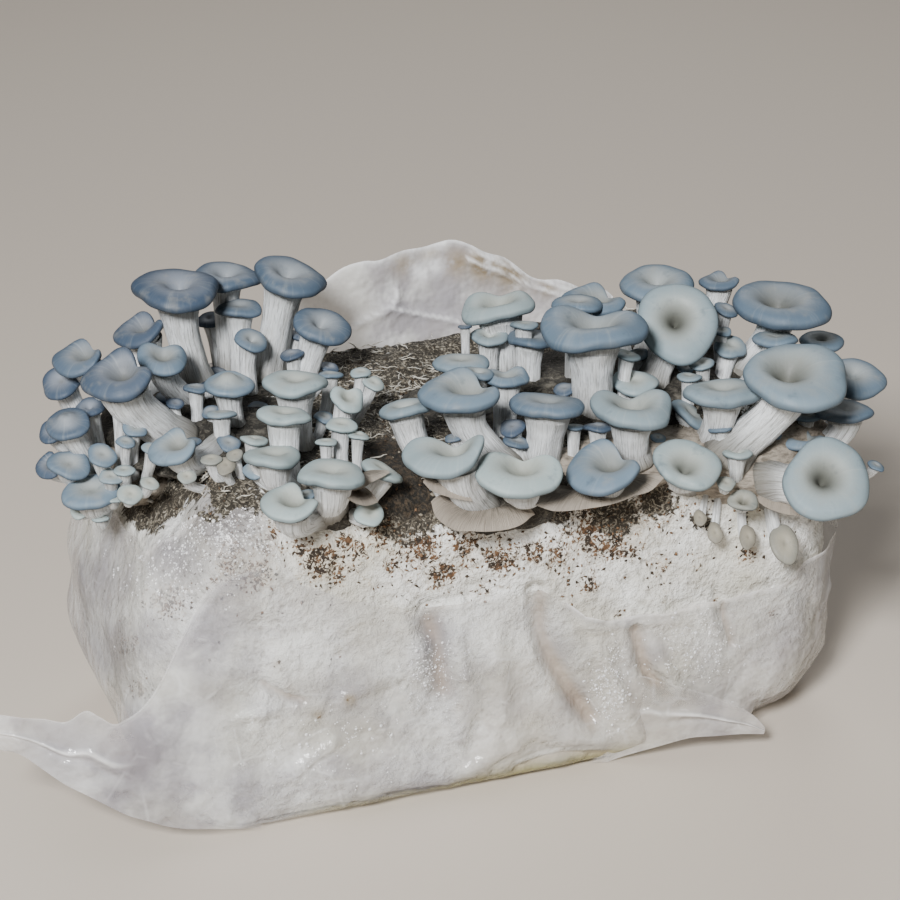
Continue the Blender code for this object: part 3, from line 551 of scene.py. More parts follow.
class Shader:
    """A material's nodes, made and joined by short calls. base is its colour so far."""

    def __init__(self, name, roughness, **constants):
        self.material = bpy.data.materials.new(name)
        self.material.use_nodes = True
        self.tree = self.material.node_tree
        self.surface = self.tree.nodes["Principled BSDF"].inputs
        self.surface["Roughness"].default_value = roughness
        for key, value in constants.items():
            self.surface[key.replace("_", " ")].default_value = value
        self.place = self.node("ShaderNodeTexCoord").outputs["Object"]
        self.share = self.value("share")
        self.tone = self.value("tone")
        self.fibre = self.value("fibre", "Vector")

    def node(self, kind, sources=(), **settings):
        """A new node with these settings, and with these sources joined to its sockets."""
        made = self.tree.nodes.new(kind)
        for key, value in settings.items():
            setattr(made, key, value)
        for key, source in sources:
            self.join(source, made.inputs[key])
        return made

    def join(self, source, socket):
        if isinstance(source, bpy.types.NodeSocket):
            self.tree.links.new(source, socket)
        else:
            socket.default_value = source

    def value(self, name, output="Fac"):
        return self.node("ShaderNodeAttribute", attribute_name=name).outputs[output]

    def marks(self):
        """The three numbers that a piece keeps in fibre where it has no fibres."""
        return self.node("ShaderNodeSeparateXYZ", [(0, self.fibre)]).outputs

    def noise(self, scale, detail=4.0, rough=0.55, where=None, distortion=0.0):
        where = self.place if where is None else where
        values = [("Vector", where), ("Scale", scale), ("Detail", detail), ("Roughness", rough)]
        return self.node("ShaderNodeTexNoise", values + [("Distortion", distortion)]).outputs["Fac"]

    def cell_edges(self, scale):
        """How far a place lies from the edges of cells."""
        values = [("Vector", self.place), ("Scale", scale)]
        made = self.node("ShaderNodeTexVoronoi", values, feature="DISTANCE_TO_EDGE")
        return made.outputs["Distance"]

    def math(self, operation, *sources):
        """This operation on the first two sources, then on the result and the next."""
        made = sources[0]
        for source in sources[1:]:
            values = [(0, made), (1, source)]
            made = self.node("ShaderNodeMath", values, operation=operation).outputs[0]
        return made

    def add(self, *sources):
        return self.math("ADD", *sources)

    def times(self, *sources):
        return self.math("MULTIPLY", *sources)

    def span(self, source, low, high, start=0.0, end=1.0):
        """A smooth step from start to end as the source goes from low to high."""
        keys = ("Value", "From Min", "From Max", "To Min", "To Max")
        values = zip(keys, (source, low, high, start, end))
        made = self.node("ShaderNodeMapRange", values, interpolation_type="SMOOTHSTEP")
        return made.outputs["Result"]

    def mix(self, share, first, second):
        ends = [(*one, 1.0) if isinstance(one, tuple) else one for one in (first, second)]
        values = zip((0, 6, 7), (share, *ends))
        return self.node("ShaderNodeMix", values, data_type="RGBA").outputs[2]

    def cover(self, share, colour):
        """Lays this colour over the base."""
        self.base = self.mix(share, self.base, colour)

    def lay(self, source, low, high, colour, start=0.0, end=1.0):
        """Lays this colour over the base by a smooth step of the source."""
        self.cover(self.span(source, low, high, start, end), colour)

    def done(self, *relief):
        """The material, with its base and this relief: height, distance in metres, strength."""
        if relief:
            bump = self.node("ShaderNodeBump", zip(("Height", "Distance", "Strength"), relief))
            self.join(bump.outputs["Normal"], self.surface["Normal"])
        self.join(self.base, self.surface["Base Color"])
        return self.material


def cap_skin():
    """Matt skin, bluest at the rim, greyer in the funnel, with painted shade in the hollow and,
    mixed with darker skin, under the rolled rim.
    """
    made = Shader("cap_skin", 0.42, Specular_IOR_Level=0.3)
    share, tone = made.share, made.tone
    tan = made.span(tone, -0.9, -0.1, 1.0, 0.0)
    rim = made.mix(made.span(tone, 0.0, 0.5), (0.34, 0.42, 0.42), (0.15, 0.215, 0.28))
    rim = made.mix(made.span(tone, 0.4, 1.0), rim, (0.052, 0.078, 0.120))
    rim = made.mix(tan, rim, (0.21, 0.19, 0.15))
    middle = made.mix(tone, (0.45, 0.48, 0.43), (0.20, 0.225, 0.265))
    middle = made.mix(tan, middle, (0.32, 0.29, 0.225))
    cloudy = made.noise(70.0, 3.0)
    reach = made.add(share, made.times(made.math("SUBTRACT", cloudy, 0.5), 0.30))
    made.base = made.mix(made.span(reach, 0.22, 0.92), middle, rim)
    made.lay(made.noise(6.0, 4.0, 0.65, made.fibre), 0.5, 0.8, (0.60, 0.64, 0.62), 0.0, 0.18)
    blotches = made.noise(130.0, 3.0, 0.6)
    made.lay(blotches, 0.52, 0.78, (0.34, 0.33, 0.29), 0.0, 0.30)
    made.lay(blotches, 0.22, 0.42, (0.05, 0.08, 0.11), 0.38, 0.0)
    # Painted shade: the middle of every funnel is darkened as if in shadow.
    made.lay(share, 0.02, 0.26, (0.10, 0.10, 0.085), 0.35, 0.0)
    # Painted shade in the hollow, as strong as each look asks for.
    hollow = made.times(made.span(share, 0.08, 0.62, 0.85, 0.0), made.marks()["Z"])
    made.cover(hollow, (0.085, 0.085, 0.07))
    # A dark line where the rim rolls under: partly darker skin, partly painted shade.
    made.lay(share, 0.955, 1.03, (0.022, 0.032, 0.046), 0.0, 0.85)
    made.join(made.span(cloudy, 0.3, 0.7, 0.46, 0.64), made.surface["Roughness"])
    relief = made.add(made.times(blotches, 0.5), made.times(made.noise(900.0, 1.0), 0.4))
    return made.done(relief, 0.0004, 0.6)


def stem_flesh():
    """Off-white flesh with fine strings and gills, with painted shade just under the cap and
    towards its foot.
    """
    made = Shader("stem_flesh", 0.6)
    strings = made.noise(1.5, 5.0, 0.7, made.fibre)
    made.base = made.mix(made.span(strings, 0.3, 0.54), (0.36, 0.365, 0.36), (0.93, 0.965, 0.985))
    made.lay(made.noise(0.45, 3.0, 0.6, made.fibre), 0.5, 0.68, (0.42, 0.41, 0.38), 0.0, 0.4)
    made.lay(made.noise(55.0, 3.0), 0.5, 0.8, (0.68, 0.65, 0.58), 0.0, 0.25)
    # Painted shade just under the cap.
    made.lay(made.share, 0.0, 0.16, (0.30, 0.30, 0.28), 0.45, 0.0)
    # Painted shade towards the foot, where the stems crowd together.
    made.lay(made.share, 0.42, 0.92, (0.15, 0.135, 0.105), 0.0, 0.9)
    return made.done(strings, 0.0014, 0.9)


def gilled_flesh():
    """The beige gilled undersides at the foot of a cluster."""
    made = Shader("gilled_flesh", 0.65)
    strings = made.noise(5.0, 5.0, 0.65, made.fibre)
    made.base = made.mix(made.span(strings, 0.3, 0.6), (0.13, 0.11, 0.085), (0.34, 0.295, 0.24))
    made.lay(made.share, 0.72, 1.0, (0.52, 0.455, 0.38), 0.0, 0.5)
    return made.done(strings, 0.001, 0.8)


def base_flesh():
    """The lumpy foot between the stems: crumbly, with pale threads, and dark partly with painted
    shade for the gaps between them.
    """
    made = Shader("base_flesh", 0.8)
    threads = made.noise(300.0, 3.0, 0.7, distortion=1.8)
    lumpy = made.noise(90.0, 3.0, 0.6)
    crumbs = made.span(threads, 0.45, 0.62)
    # Very dark colours: partly the base's own colour, partly painted shade between the stems.
    made.base = made.mix(crumbs, (0.022, 0.019, 0.014), (0.085, 0.076, 0.06))
    made.lay(lumpy, 0.55, 0.72, (0.17, 0.155, 0.125))
    made.lay(threads, 0.66, 0.74, (0.30, 0.28, 0.23))
    return made.done(made.add(threads, lumpy), 0.0022, 0.9)


def mycelium():
    """White crust with bare sawdust: tone is how brown-flecked it is, share how dark the ground is,
    and at its highest painted shadow.
    """
    made = Shader("mycelium", 0.85)
    felt = made.noise(260.0, 3.0, 0.65)
    clouds = made.noise(28.0, 4.0, 0.6)
    made.base = made.mix(made.span(clouds, 0.35, 0.68), (0.88, 0.89, 0.87), (0.60, 0.58, 0.51))
    made.lay(made.noise(14.0, 2.0), 0.52, 0.78, (0.72, 0.70, 0.56), 0.0, 0.45)
    made.lay(felt, 0.3, 0.52, (0.40, 0.38, 0.33), 0.6, 0.0)
    greyed = made.span(made.noise(40.0, 3.0, 0.65), 0.25, 0.6, 0.5, 1.0)
    made.cover(made.times(made.marks()["X"], greyed), (0.24, 0.225, 0.24))

    grain = made.noise(430.0, 3.0, 0.75, distortion=0.8)
    worn = made.noise(85.0, 4.0, 0.7)
    level = made.add(made.times(grain, 0.66), made.times(worn, 0.34))
    edge = made.math("SUBTRACT", 0.72, made.times(made.tone, 0.235))
    made.lay(level, made.math("SUBTRACT", edge, 0.07), edge, (0.50, 0.40, 0.28), 0.0, 0.5)
    rust = made.span(made.noise(230.0, 2.0), 0.42, 0.6)
    brown = made.mix(rust, (0.026, 0.018, 0.012), (0.135, 0.070, 0.032))
    made.lay(level, edge, made.add(edge, 0.03), brown)

    dirt = made.noise(190.0, 4.0, 0.7, distortion=1.2)
    dirt = made.add(made.times(dirt, 0.6), made.times(clouds, 0.4))
    limit = made.math("SUBTRACT", 0.82, made.times(made.share, 0.50))
    threads = made.noise(330.0, 3.0, 0.7, distortion=2.2)
    ground = made.mix(made.span(threads, 0.47, 0.60), (0.028, 0.023, 0.016), (0.19, 0.165, 0.125))
    ground = made.mix(made.span(threads, 0.56, 0.66), ground, (0.37, 0.345, 0.285))
    made.lay(dirt, limit, made.add(limit, 0.06), ground)
    # Near black at the highest shares: dark ground, with painted shadow under the clusters.
    black_ground_and_shadow = made.mix(made.span(grain, 0.4, 0.7), (0.006, 0.005, 0.003), (0.06, 0.042, 0.025))
    made.lay(made.share, 1.15, 1.6, black_ground_and_shadow)
    return made.done(made.add(felt, made.times(worn, 0.8)), 0.0026, 0.9)


def film():
    """Thin milky polypropylene: share is how loosely it hangs, which makes it look whiter, and
    tone is how yellow it is near the floor, or below 0 how grey."""
    made = Shader("milky_film", 0.2, Specular_IOR_Level=0.6)
    loose, low = made.share, made.tone
    marks = made.marks()
    stained, crease_shade, bright = (marks[axis] for axis in "XYZ")
    clouds = made.noise(36.0, 4.0, 0.62)
    made.base = made.mix(made.span(clouds, 0.38, 0.62), (0.42, 0.405, 0.44), (0.86, 0.865, 0.86))
    made.lay(made.noise(15.0, 2.0), 0.48, 0.7, (0.74, 0.72, 0.58), 0.0, 0.5)
    made.lay(made.noise(9.0, 3.0, 0.6), 0.46, 0.66, (0.60, 0.53, 0.47), 0.0, 0.5)
    # Crinkles: straight cell edges painted near-white as painted highlights on the film's fine
    # wrinkles; they also make the film a little less clear.
    lines = made.span(made.cell_edges(48.0), 0.0, 0.055, 1.0, 0.0)
    lines = made.times(lines, made.span(made.noise(62.0, 2.0), 0.48, 0.62))
    crinkle_highlight = made.times(lines, made.span(loose, 0.3, 0.85, 1.0, 0.25))
    made.cover(made.times(crinkle_highlight, 0.4), (0.93, 0.94, 0.95))
    greyed = made.span(low, -1.0, 0.0, 1.0, 0.0)
    made.cover(made.times(greyed, 0.65), (0.27, 0.25, 0.275))
    made.lay(low, 0.0, 0.6, (0.37, 0.34, 0.12), 0.0, 0.9)
    speckle = made.span(made.noise(90.0, 3.0, 0.65), 0.30, 0.52)
    made.cover(made.times(stained, speckle), (0.30, 0.22, 0.12))
    # Painted shade in the creases' valleys.
    made.cover(made.times(crease_shade, 0.75), (0.36, 0.28, 0.21))
    made.cover(bright, (0.95, 0.95, 0.95))

    veil = made.span(made.noise(22.0, 3.0, 0.6), 0.3, 0.7, 0.75, 1.25)
    alpha = made.add(
        made.times(made.add(made.times(loose, 0.55), 0.22), veil),
        made.times(made.math("MAXIMUM", crease_shade, bright), 0.45),
        made.times(made.math("MAXIMUM", low, 0.0), 0.5),
        made.times(greyed, 0.2),
        made.times(crinkle_highlight, 0.12),
    )
    made.join(alpha, made.surface["Alpha"])
    lumpy = made.times(made.noise(125.0, 3.0, 0.68), made.span(loose, 0.3, 0.8, 0.28, 0.05))
    return made.done(made.add(made.noise(48.0, 3.0, 0.6), lumpy), 0.0055, 0.8)


def plain(name, colour, dark, scale, roughness, **constants):
    """A rough natural surface between two colours."""
    made = Shader(name, roughness, **constants)
    grain = made.noise(scale, 5.0, 0.65)
    made.base = made.mix(made.span(grain, 0.35, 0.65), dark, colour)
    return made.done(grain, 0.0006, 0.7)


def cap_frame(face, lean):
    """Axes of a cap: across it, away from the eye, and out of its top."""
    face, lean = math.radians(face), math.radians(lean)
    rise = math.sin(lean) * ACROSS + math.cos(lean) * UPWARD
    axis = math.sin(face) * TOWARD + math.cos(face) * rise
    right = unit(ACROSS - ACROSS @ axis * axis)
    return np.array([right, np.cross(axis, right), axis])


def cap_points(share, height, turn, radius, length, shift, inner, look, phases):
    """Points of a cap in its own axes, with its notch, curl and waves."""
    _, depth, direction, width, curl, wave, _, _ = LOOKS[look]
    away = np.angle(np.exp(1j * (turn - math.radians(direction))))
    notch = depth * bell(away / width)
    waves = wave * ripples(turn, phases[:3], (2, 1.0), (3, 0.8), (5, 0.4))
    lobes = 0.5 * depth * bell((np.abs(away) - 1.5 * width) / (0.9 * width))
    lift = curl * ripples(turn, phases[3:5], (2, 1.0), (3, 0.5)) + lobes - 0.55 * notch
    ripple = 0.012 * np.sin(9 * turn + phases[5]) * share**4
    out = radius * share * (1.0 + (waves - notch) * share**1.25)
    return joined(
        out * np.cos(turn) + radius * shift[0] * inner,
        out * length * np.sin(turn) + radius * shift[1] * inner,
        radius * (height + (lift + ripple) * share**2),
    )


def add_cap(into, centre, axes, width, length, shift, stem_width, look, tone):
    """A cap with a smooth top and a rolled rim of skin, and a gilled underside of flesh."""
    radius = 0.5 * width
    phases = RANDOM.uniform(0.0, 2.0 * math.pi, 7)
    top, _, direction, _, _, _, pull, dark = LOOKS[look]
    line = smooth_line(TOP_LINES[top] + RIM_LINE, int(np.clip(radius * 1.3, 13, 26)))
    line[:, 0] = np.clip(line[:, 0], 0.012, None)
    columns = int(np.clip(radius * 3.6, 26, 76))
    turn = circle(columns)
    share, height = line[:, :1], line[:, 1:]
    way = math.radians(direction)
    moved = (shift[0] + pull * math.cos(way), shift[1] + pull * math.sin(way))
    points = cap_points(share, height, turn, radius, length, moved, 1.0 - share**2, look, phases)
    past_rim = np.arange(len(line)) > np.argmax(line[:, 0])
    travel = np.where(past_rim, 2.0 - line[:, 0], line[:, 0])
    # Its third number is how much painted shade darkens the hollow.
    spoke = joined(np.cos(turn), np.sin(turn), dark + 0.0 * share)
    world = centre + points @ axes
    faces = grid_faces(len(line), columns, True, True)
    into.add(world, faces, SKIN, np.repeat(travel, columns), tone, spoke)
    into.add(world[0], [list(range(columns))], SKIN, 0.0, tone, spoke[0])

    rows = 9
    throat = stem_width / width * 1.2
    line = [RIM_LINE[-1], (0.78, -0.25), (0.66, -0.30), (max(0.54, throat), -0.36), (throat, -0.5)]
    under = smooth_line(line, rows)
    under[-1, 0] = throat
    under[:, 0] = np.clip(under[:, 0], throat, None)
    columns = 2 * gill_count(width)
    turn = circle(columns)
    share, height = under[:, :1], under[:, 1:]
    inner = held((0.88 - share) / (0.88 - throat))
    deep = np.sin(np.linspace(0.08, 0.86, rows) * math.pi)[:, None] * (np.arange(columns) % 2)
    height = height + 0.05 * deep
    points = cap_points(share, height, turn, radius, length, shift, inner, look, phases)
    spoke = joined(radius * np.cos(turn), radius * np.sin(turn), 0.4 * share + phases[6])
    faces = grid_faces(rows, columns, True, True)
    into.add(centre + points @ axes, faces, FLESH, 0.0, tone, spoke)


def add_stem(into, top, axes, foot, up, width, gills, slot):
    """A stem that leaves its cap along its axis, with strings that run down from the gills."""
    top = top + 0.07 * width * axes[2]
    below = foot - min(6.0, 0.4 * width + 2.0) * up
    straight = unit(top - below)
    reach = 0.36 * np.linalg.norm(top - below)
    leave = unit(0.75 * axes[2] + 0.25 * straight)
    enter = unit(0.4 * up + 0.6 * straight)
    at = np.linspace(0.0, 1.0, 20 if width > 9.0 else 12)[:, None]
    path = (1 - at) ** 3 * top + 3 * at * (1 - at) ** 2 * (top - reach * leave)
    path = path + 3 * at**2 * (1 - at) * (below + reach * enter) + at**3 * below
    columns = 2 * gills
    turn = circle(columns)
    phases = RANDOM.uniform(0.0, 2.0 * math.pi, 4)
    shares = np.linspace(0.0, 1.0, len(path))
    right = axes[0]
    rows = []
    for number, (place, share) in enumerate(zip(path, shares)):
        ahead = path[min(number + 1, len(path) - 1)] - path[max(number - 1, 0)]
        down = -axes[2] if number == 0 else unit(ahead)
        right = unit(right - right @ down * down)
        away = np.cross(down, right)
        size = 0.5 * width * np.interp(share, *STEM_WIDTHS)
        start = min(share * 6.0, 1.0)
        turned = (*phases[:2], phases[2] + 2 * share)
        uneven = start * ripples(turn, turned, (2, 0.05), (3, 0.035), (7, 0.02))
        flutes = (0.05 * math.exp(-2.5 * share) + 0.012) * min(size / 5.0, 1.0)
        out = (size * (1.0 + uneven - flutes * (np.arange(columns) % 2)))[:, None]
        rows.append(place + out * (np.cos(turn)[:, None] * right + np.sin(turn)[:, None] * away))
    spread = 0.5 * width
    drawn = 0.06 * np.linalg.norm(path[0] - path[-1]) * shares[:, None] + phases[3]
    fibre = joined(spread * np.cos(turn), spread * np.sin(turn), drawn)
    faces = grid_faces(len(path), columns, True, True)
    into.add(rows, faces, slot, np.repeat(shares, columns), 0.0, fibre)


def inside(point, swellings, margin):
    """Whether the point lies in one of these swellings, grown by a margin."""
    for centre, radii in swellings:
        away = (point - np.array(centre)) / (np.array(radii) + margin)
        if away @ away < 1.0:
            return True
    return False


def in_block(point):
    """Whether the point lies inside the block."""
    beyond = np.abs(point[:2]) - np.array([BLOCK_HALF_LENGTH, BLOCK_HALF_WIDTH]) + CORNER_RADIUS
    out = np.linalg.norm(np.clip(beyond, 0.0, None)) + min(beyond.max(), 0.0) - CORNER_RADIUS
    back = rounding(BLOCK_HEIGHT - point[2], SHOULDER_RADIUS) + end_slope(point[0], point[2])
    return point[2] < BLOCK_HEIGHT and out < -back - 1.0


def planted(foot, swellings):
    """The place behind this one, as the eye sees it, where a stem stands on the block or base."""
    away = unit(foot - EYE_TARGET - EYE_DISTANCE * TOWARD)
    for _ in range(FARTHEST_BACK):
        if in_block(foot) or inside(foot, swellings, -ROOTED):
            break
        foot = foot + away
    return foot


def gill_count(width):
    """How many gills a cap of this width has."""
    return int(np.clip(1.5 * width, 16, 62))


def grow_mushroom(row, skin, flesh):
    """One full-grown mushroom as two pieces, which stand for its cap and stem."""
    name, place, width, length, face, lean, shift, foot, stem_width, tone, look = row
    swellings = SWELLINGS[name.split("_")[0]]
    axes = cap_frame(face, lean)
    centre = spot(*place)
    piece = Growth()
    add_cap(piece, centre, axes, width, length, shift, stem_width, look, tone)
    piece.make(f"{name}_blue_cap", [skin, flesh], f"{name}_cap")
    join = centre + 0.5 * width * (shift[0] * axes[0] + shift[1] * axes[1] - 0.5 * axes[2])
    foot = spot(*foot)
    up = unit(0.55 * unit(join - foot) + np.array([0.0, -0.1, 0.6]))
    foot = planted(foot, swellings)
    while inside(foot, swellings, -ROOTED):
        foot = foot + 0.5 * up
    piece = Growth()
    add_stem(piece, join, axes, foot, up, stem_width, gill_count(width), 0)
    piece.make(f"{name}_white_stem", [flesh], f"{name}_stem")


def nearby_foot(join, swelling):
    """A place well inside the swelling, on the side where the stem comes from."""
    centre, radii = (np.array(part, float) for part in swelling)
    away = (join - centre) / radii
    away[2] = 0.0
    return centre + radii * away * min(0.72 / np.linalg.norm(away), 1.0)


def young_look(width, number):
    """The look of a young cap: the smallest are buttons, and the others take turns."""
    if width < 14:
        return "button"
    return ("button", "funnel", "shallow", "kidney", "fold")[number % 5]


def add_fan(piece, start, edge):
    """A thin gilled sheet that sweeps out from a point to a wavy edge, with the edge rolled in."""
    rows, columns = 22, 72
    start = in_picture(*start)
    edge = smooth_line([in_picture(*row) for row in edge], columns)
    share = np.linspace(0.0, 1.0, rows)[:, None]
    arch = np.sin(math.pi * share)
    gill = (np.arange(columns) % 2) * arch**0.5
    fibre = joined(np.linspace(0.0, 22.0, columns), 3.0, 0.5 * share)
    for layer in (-1.0, 1.0):
        points = start + share[..., None] * (edge - start)
        sag = 5.0 * arch + 1.0 * lumps(points, 9.0, 51)
        thick = 1.1 * (1.0 - share**8) ** 0.5 + 0.02
        drop = sag - layer * thick + (0.5 * gill if layer < 0 else 0.0)
        points = points + drop[..., None] * np.array([0.1, 0.35, 0.9])
        faces = grid_faces(rows, columns, False, layer < 0)
        piece.add(points, faces, GILLED, np.repeat(share, columns), 0.0, fibre)


def add_pin(piece, swellings):
    """A tiny budding mushroom somewhere on a cluster's base."""
    centre, radii = (np.array(part, float) for part in swellings[RANDOM.integers(len(swellings))])
    way = unit(RANDOM.normal(size=3) + np.array([0.0, -0.4, 0.6]))
    foot = centre + radii * way * 0.97
    if foot[2] < 128.0:
        return
    tall = RANDOM.uniform(3.0, 9.0)
    wide = RANDOM.uniform(0.5, 1.0)
    aim = unit(way + np.array([0.0, -0.2, 0.8]) + 0.3 * RANDOM.normal(size=3))
    right, away, _ = axes_on(aim, RANDOM.normal(size=3))
    turn = circle(12)
    ring = np.cos(turn)[:, None] * right + np.sin(turn)[:, None] * away
    bend = RANDOM.normal(0.0, 0.12, 3)
    rows = [foot + up * tall * (aim + bend * up) + wide * size * ring for up, size in PIN_LINE]
    faces = grid_faces(len(PIN_LINE), len(turn), True, False)
    # Their share gives them the dark colour of a stem's foot, which is painted shade.
    piece.add(rows, faces, FLESH, RANDOM.uniform(0.85, 1.2))


def crowded(place, width, young):
    """Whether a small cap would touch one of these young mushrooms."""
    for row in young:
        across, up, depth = np.subtract(place, row[:3])
        if math.hypot(across, up) < 0.4 * (width + row[3]) and abs(depth) < 16.0:
            return True
    return False


def between_stems(side, young):
    """Young mushrooms low down behind the large stems of a cluster, as rows like the others."""
    rows = []
    for name, cap, _, _, _, _, _, foot, thick, tone, _ in MUSHROOMS:
        if not name.startswith(side):
            continue
        for way in (-1.0, 1.0):
            share = RANDOM.uniform(0.42, 0.86)
            across, up, depth = (1.0 - share) * np.array(cap, float) + share * np.array(foot, float)
            aside = way * (0.5 * thick + RANDOM.uniform(2.0, 8.0))
            place = (across + aside, up, depth + RANDOM.uniform(3.0, 12.0))
            own_foot = (foot[0] + 0.5 * aside, foot[1] - 2.0, foot[2] + RANDOM.uniform(0.0, 6.0))
            width = RANDOM.uniform(7.0, 14.0)
            face = RANDOM.uniform(14, 44)
            if not crowded(place, width, young):
                # Bluer and darker than the cap they stand behind: young caps are darker, and this
                # is also painted shade deep in the cluster.
                blue = min(tone + 0.3, 1.0)
                rows.append((*place, width, face, 14.0 * way, blue, None, own_foot))
    return rows


def add_young(piece, young, swellings):
    """Young mushrooms, one after another, as part of a piece."""
    for number, row in enumerate(young):
        *place, width, face, lean, tone = row[:7]
        own_look, own_foot = (*row[7:], None, None)[:2]
        axes = cap_frame(face, lean)
        centre = spot(*place)
        stalk = max(0.5 * width, 3.6)
        look = own_look or young_look(width, number)
        length = 1.5 if tone < -0.6 else 1.0
        add_cap(piece, centre, axes, width, length, (0.0, 0.0), stalk, look, tone)
        join = centre - 0.25 * width * axes[2]
        nearest = min(swellings, key=lambda one: np.linalg.norm(np.array(one[0]) - centre))
        foot = planted(spot(*own_foot), swellings) if own_foot else nearby_foot(join, nearest)
        up = unit(unit(join - foot) + np.array([0.0, 0.0, 0.25]))
        add_stem(piece, join, axes, foot, up, stalk, gill_count(width), FLESH)


def grow_base(side, young, materials):
    """A cluster's fleshy base with all its young mushrooms, and those between its stems."""
    piece = Growth()
    swellings = SWELLINGS[side]
    rows, columns = 26, 72
    rise = np.linspace(-0.5 * math.pi + 0.02, 0.5 * math.pi - 0.02, rows)[:, None]
    turn = circle(columns)
    out = ball(rise, turn)
    for number, (centre, radii) in enumerate(swellings):
        points = out * np.array(radii) + np.array(centre)
        rough = 2.2 * lumps(points, 8.0, 3 + number) + 1.3 * lumps(points, 3.2, 13 + number) - 0.8
        fibre = joined(2.0 * turn, 3.0 * rise, 0.02 * points[..., 0])
        slot = GILLED if number in PALE_SWELLINGS[side] else GROUND
        faces = grid_faces(rows, columns, True, False)
        piece.add(points + rough[..., None] * out, faces, slot, 0.4, 0.0, fibre)
    add_young(piece, young, swellings)
    for start, edge in FANS[side]:
        add_fan(piece, start, edge)
    for _ in range(PINS):
        add_pin(piece, swellings)
    piece.make(f"{side}_young_mushrooms", materials, f"{side}_cluster_base")
    piece = Growth()
    add_young(piece, between_stems(side, young), swellings)
    piece.make(f"{side}_mushrooms_between_stems", materials[:GROUND])


def outline(along, grow):
    """Points of the block's rounded outline this far along it, moved outwards by grow."""
    half_x = BLOCK_HALF_LENGTH - CORNER_RADIUS
    half_y = BLOCK_HALF_WIDTH - CORNER_RADIUS
    bend = 0.5 * math.pi * CORNER_RADIUS
    starts = np.cumsum([0, half_x, bend, 2 * half_y, bend, 2 * half_x, bend, 2 * half_y, bend])
    left = np.mod(along, OUTLINE)
    number = np.searchsorted(starts, left, side="right") - 1
    left = left - starts[number]
    x, y, step, climb, turn = OUTLINE_PARTS[:, number]
    bends = number % 2 == 1
    angle = math.pi * turn + np.where(bends, left / CORNER_RADIUS, 0.0)
    straight = np.where(bends, 0.0, left)
    x = half_x * x + step * straight
    y = half_y * y + climb * straight
    radius = CORNER_RADIUS + grow
    return x + radius * np.cos(angle), y + radius * np.sin(angle)


def eased(value):
    """A smooth step from 0 to 1 as the value goes from 0 to 1."""
    share = held(value)
    return share * share * (3.0 - 2.0 * share)


def foot_radius(along):
    """How rounded the bottom edge is: sharp at the front left, and full at both ends."""
    x, y = outline(along, 0.0)
    right = eased((x - 40.0) / 120.0)
    left = eased((-x - 124.0) / 40.0) * eased((y + 84.0) / 70.0)
    return LEAST_FOOT_RADIUS + 25.0 * (right + left)


def end_slope(x, height):
    """How far the left end slopes in, below and above its middle."""
    low = 0.004 * np.clip(55.0 - height, 0.0, None) ** 2
    high = 0.0045 * np.clip(height - 72.0, 0.0, 66.0) ** 2
    return eased((-x - 126.0) / 40.0) * (low + high)


def rounding(height, radius):
    """How far a rounded edge of this radius stands back, at this height above its start."""
    drop = np.clip(radius - height, 0.0, radius)
    return radius - np.sqrt(np.clip(radius * radius - drop * drop, 0.0, None))


def block_side(along, height):
    """Points of the block's side, with its rounded edges and a few shallow hollows."""
    turn = 2.0 * math.pi * along / OUTLINE
    hollow = 1.0 + np.sin(7.0 * turn + 0.05 * height) * np.cos(0.045 * height + 3.0 * turn)
    back = rounding(height - BLOCK_BOTTOM, foot_radius(along))
    back = back + rounding(BLOCK_HEIGHT - height, SHOULDER_RADIUS)
    back = back + end_slope(outline(along, 0.0)[0], height)
    return joined(*outline(along, -np.clip(back + hollow, None, DEEPEST)), height)


def top_height(x, y):
    """The uneven top of the block."""
    swell = 1.6 * np.sin(0.06 * x + 0.4) * np.cos(0.07 * y)
    return BLOCK_HEIGHT + swell + 1.2 * np.sin(0.11 * x - 0.09 * y)


def patch_values(points, patches, facing=1.0):
    """How strongly these patches of the picture cover points on faces turned to the eye."""
    columns, rows = seen_at(points)
    total = 0.0
    for column, row, *reach, strength in patches:
        far = ((columns - column) / reach[0]) ** 2 + ((rows - row) / reach[-1]) ** 2
        total = np.maximum(total, strength * np.exp(-far))
    return total * facing


